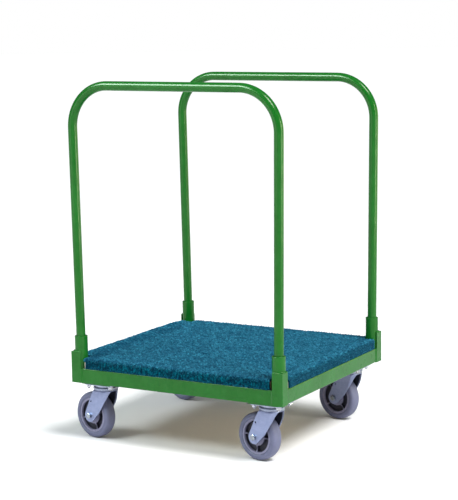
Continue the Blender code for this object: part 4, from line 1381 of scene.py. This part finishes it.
def caster_place(corner):
    """The caster's own frame: its kingpin's foot, with X back along the trail and Y on the axle."""
    joints = {joint["name"]: joint for joint in frame["joints"]}
    kingpin = Vector(joints["swivel_" + corner]["pos_m"])
    axle = Vector(joints["roll_" + corner]["pos_m"])
    across = Vector(joints["roll_" + corner]["axis"]).normalized()
    back = across.cross(Vector((0, 0, 1)))
    turn = Matrix((
        (back.x, across.x, 0, kingpin.x), (back.y, across.y, 0, kingpin.y),
        (0, 0, 1, 0), (0, 0, 0, 1),
    ))
    flat = axle - kingpin
    flat.z = 0
    return turn, flat.length


def race_mesh():
    """The swivel's ring, rolled in at the top and grooved round the middle, from Z = 0 up."""
    low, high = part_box("swivel_bearing_front_left")
    radius, height = (high.x - low.x) / 2, high.z - low.z
    ledge = height - 0.0012
    return turned("race_ring", rounded([
        (RACE_BORE, 0, 0.0003), (radius - 0.0010, 0, 0.0006),
        (radius - 0.0004, 0.0016, 0.0004), (radius - 0.0013, 0.0026, 0.0005),
        (radius, 0.0036, 0.0008), (radius, height - 0.0006, 0.0026),
        (radius - 0.0055, height, 0.0012), (radius - 0.0060, ledge, 0.0004),
        (RACE_BORE, ledge, 0.0003),
    ], 4), 96, sharp=38)


def kingpin_mesh():
    """The kingpin: a plain pin with a rivet head underneath, dished at its middle."""
    low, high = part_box("kingpin_front_left")
    head, dish = low.z + 0.0065, low.z + 0.001
    rivet = rounded([
        ((high.x - low.x) / 2, head, 0), ((high.x - low.x) / 2, low.z, 0.0035),
        (0.004, low.z, 0.0008), (0.003, dish, 0.0005), (0, dish, 0),
    ], 4, closed=False)
    end = [(0, high.z), (KINGPIN_RADIUS - 0.0005, high.z), (KINGPIN_RADIUS, high.z - 0.0005)]
    return turned("kingpin_rivet", [*end, (KINGPIN_RADIUS, head), *rivet], 48, closed=False)


def build_casters(plated, fork_zinc, bright, tread, core, bronze_metal, paint):
    """Four swivel casters: pad, plate, kingpin, race, fork, axle, and the wheel with its bearing."""
    _, trail = caster_place("front_left")
    plate_low, plate_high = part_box("top_plate_front_left")
    pad_low, pad_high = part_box("caster_pad_front_left")
    pad_size = pad_high - pad_low
    flip = turned_by(math.pi, "X")
    face = FORK_HALF + GAP

    pad = plate_mesh("caster_pad", pad_size.xy, PAD_CORNER, pad_size.z)
    plate = plate_mesh("caster_plate", PLATE_SIZE, PLATE_CORNER, PLATE_THICKNESS,
                       (BOSS_RADIUS, plate_low.z - plate_high.z))
    shank = threaded(AXLE_RADIUS, face, -face - AXLE_NUT_HEIGHT - AXLE_TIP, AXLE_PITCH)
    head = hexagon(AXLE_HEX, AXLE_HEAD_HEIGHT)
    axle_bolt = merged("axle_bolt_shape", [(head, shifted(z=face)), (shank, Matrix())], 32)
    nut = hexagon(AXLE_HEX, AXLE_NUT_HEIGHT, AXLE_RADIUS + BOLT_PLAY)
    axle_nut = merged("axle_nut_shape", [(nut, shifted(z=-face) @ flip)], 32)
    race, kingpin, fork = race_mesh(), kingpin_mesh(), fork_mesh(trail)
    tyre, wheel_core = tyre_mesh(), core_mesh()
    bearing, sleeve = tube_mesh("plain_bearing", *BEARING), tube_mesh("axle_sleeve", *BUSHING)
    ring_low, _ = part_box("swivel_bearing_front_left")

    for corner in CORNERS:
        place, _ = caster_place(corner)
        pin = Matrix.Translation(place.translation)
        at_pad, at_plate = pin @ shifted(z=pad_high.z), pin @ shifted(z=plate_high.z)
        at_ring = place @ shifted(z=ring_low.z)
        hub = place @ shifted(trail, 0, WHEEL_RADIUS)
        upright = turned_by(-math.pi / 2, "X")
        axle = hub @ upright
        turn = hub @ turned_by(math.radians(WHEEL_TURN[corner]), "Y") @ upright
        caster, wheel = "caster_" + corner, "wheel_" + corner
        for name, mesh, material, body, slot, node, where in (
            ("mounting_pad_", pad, paint, "frame", "green_paint", "caster_pad_", at_pad),
            ("swivel_plate_", plate, plated, "frame", "zinc_plate", "top_plate_", at_plate),
            ("kingpin_rivet_", kingpin, plated, "frame", "zinc_plate", "kingpin_", pin),
            ("race_ring_", race, plated, caster, "zinc_plate", "swivel_bearing_", at_ring),
            ("fork_pressing_", fork, fork_zinc, caster, "zinc_plate", "fork_", place),
            ("hex_axle_", axle_bolt, bright, caster, "zinc_plate", "axle_bolt_", axle),
            ("lock_nut_", axle_nut, bright, caster, "zinc_plate", "axle_nut_", axle),
            ("moulded_core_", wheel_core, core, wheel, "grey_nylon", "wheel_core_", turn),
            ("moulded_tyre_", tyre, tread, wheel, "grey_rubber", "tyre_", axle),
            ("plain_bearing_", bearing, bronze_metal, wheel, "bearing_bronze", "wheel_bearing_", axle),
            ("axle_sleeve_", sleeve, plated, caster, "zinc_plate", "axle_bushing_", axle),
        ):
            even_shading(place_piece(mesh, material, body, [node + corner], where, name + corner))


# ---------------------------------------------------------------- stage


def build_camera():
    """The camera's place and turn: yaw about Z, pitch down, roll about its own line of sight."""
    yaw, pitch, roll = 0.5174, 0.1509, -0.0160
    place = shifted(2.76905, -4.81793, 1.48114)
    camera = link(bpy.data.objects.new("camera", bpy.data.cameras.new("camera")))
    turn = turned_by(yaw, "Z") @ turned_by(math.pi / 2 - pitch, "X") @ turned_by(roll, "Z")
    camera.matrix_world = place @ turn
    camera.data.lens = 116.70
    camera.data.sensor_width = 36
    camera.data.clip_end = 50
    bpy.context.scene.camera = camera


def area_light(name, place, target, size, power, colour, gloss_only=False):
    light = bpy.data.lights.new(name, "AREA")
    light.shape = "RECTANGLE"
    light.size, light.size_y = size
    light.energy = power
    light.color = colour
    obj = link(bpy.data.objects.new(name, light))
    obj.location = place
    obj.rotation_euler = (Vector(target) - Vector(place)).to_track_quat("-Z", "Y").to_euler()
    obj.visible_diffuse = not gloss_only


def soft_world():
    """An even surround for the light, seen as plain white behind the object."""
    world = bpy.data.worlds.new("surround")
    world.use_nodes = True
    nodes, links = world.node_tree.nodes, world.node_tree.links
    around = nodes["Background"]
    around.inputs["Color"].default_value = (0.90, 0.96, 1.0, 1)
    around.inputs["Strength"].default_value = 0.30
    rays = nodes.new("ShaderNodeLightPath")
    last = around
    for ray, strength in (("Is Glossy Ray", 0.16), ("Is Camera Ray", 1.0)):
        other = nodes.new("ShaderNodeBackground")
        other.inputs["Color"].default_value = (1, 1, 1, 1)
        other.inputs["Strength"].default_value = strength
        mix = nodes.new("ShaderNodeMixShader")
        links.new(rays.outputs[ray], mix.inputs[0])
        links.new(last.outputs[0], mix.inputs[1])
        links.new(other.outputs[0], mix.inputs[2])
        last = mix
    links.new(last.outputs[0], nodes["World Output"].inputs["Surface"])
    bpy.context.scene.world = world


def build_stage():
    """A wide pale floor, an even surround, a broad sun through silk, and soft boxes and cards."""
    mesh = bpy.data.meshes.new("floor")
    mesh.from_pydata([(-60, -60, 0), (60, -60, 0), (60, 60, 0), (-60, 60, 0)], [], [(0, 1, 2, 3)])
    mesh.materials.append(matt_stage())
    floor = link(bpy.data.objects.new("floor", mesh))
    soft_world()
    sun = bpy.data.lights.new("silk", "SUN")
    sun.energy = 3.6
    sun.angle = math.radians(24)
    obj = link(bpy.data.objects.new("silk", sun))
    obj.rotation_euler = Vector((0.58, -0.18, 0.90)).to_track_quat("Z", "Y").to_euler()
    area_light("side_box", (4.2, 0.3, 1.4), (0, 0, 0.6), (0.35, 2.4), 40, (1.0, 0.98, 0.86))
    area_light("side_strip", (4.3, 0.3, 1.1), (0, 0, 0.6), (0.20, 2.8), 105, (1.0, 1.0, 0.70), True)
    area_light("back_box", (2.6, 4.2, 1.2), (0, 0, 0.6), (2.0, 2.2), 12, (1.0, 0.98, 0.86))
    area_light("back_card", (2.7, 4.3, 0.9), (0, 0, 0.4), (2.4, 1.8), 30, (1.0, 0.85, 0.05), True)
    area_light("front_box", (-2.45, -3.6, 4.2), (0, -0.3, 1.0), (2.8, 0.8), 165, (0.95, 1.0, 1.0))
    area_light("front_strip", (-2.5, -3.7, 4.3), (0, -0.3, 1.2), (3.4, 2.4), 560, (0.76, 1.0, 1.0), True)
    area_light("front_card", (-2.7, -4.4, 0.9), (0, 0, 0.4), (2.0, 1.4), 20, (1.0, 0.9, 1.0), True)
    bpy.context.scene.view_settings.view_transform = "Standard"


def main():
    build_camera()
    build_stage()
    paint = painted_steel()
    plated = zinc("zinc_plate_bright", (0.38, 0.42, 0.54), (0.27, 0.30, 0.41), 0.36, 0.7)
    fork_zinc = zinc("zinc_fork", (0.275, 0.31, 0.485), (0.22, 0.255, 0.415), 0.42, 0.6, True)
    bright = zinc("zinc_fasteners", (0.62, 0.62, 0.68), (0.45, 0.46, 0.52), 0.25)
    build_rails(paint)
    build_posts(paint)
    build_sockets(paint)
    build_welds(painted_steel("green_enamel_on_weld", 0.13))
    build_hoops(paint)
    finish_board(plywood())
    build_carpet(carpet_pile(), carpet_backing())
    build_deck_screws(bright)
    build_mounting_bolts(bright)
    dull = zinc("zinc_axle", (0.36, 0.39, 0.44), (0.20, 0.22, 0.26), 0.26, 0.95)
    build_casters(plated, fork_zinc, dull, rubber(), moulded_core(), bronze(), paint)


main()
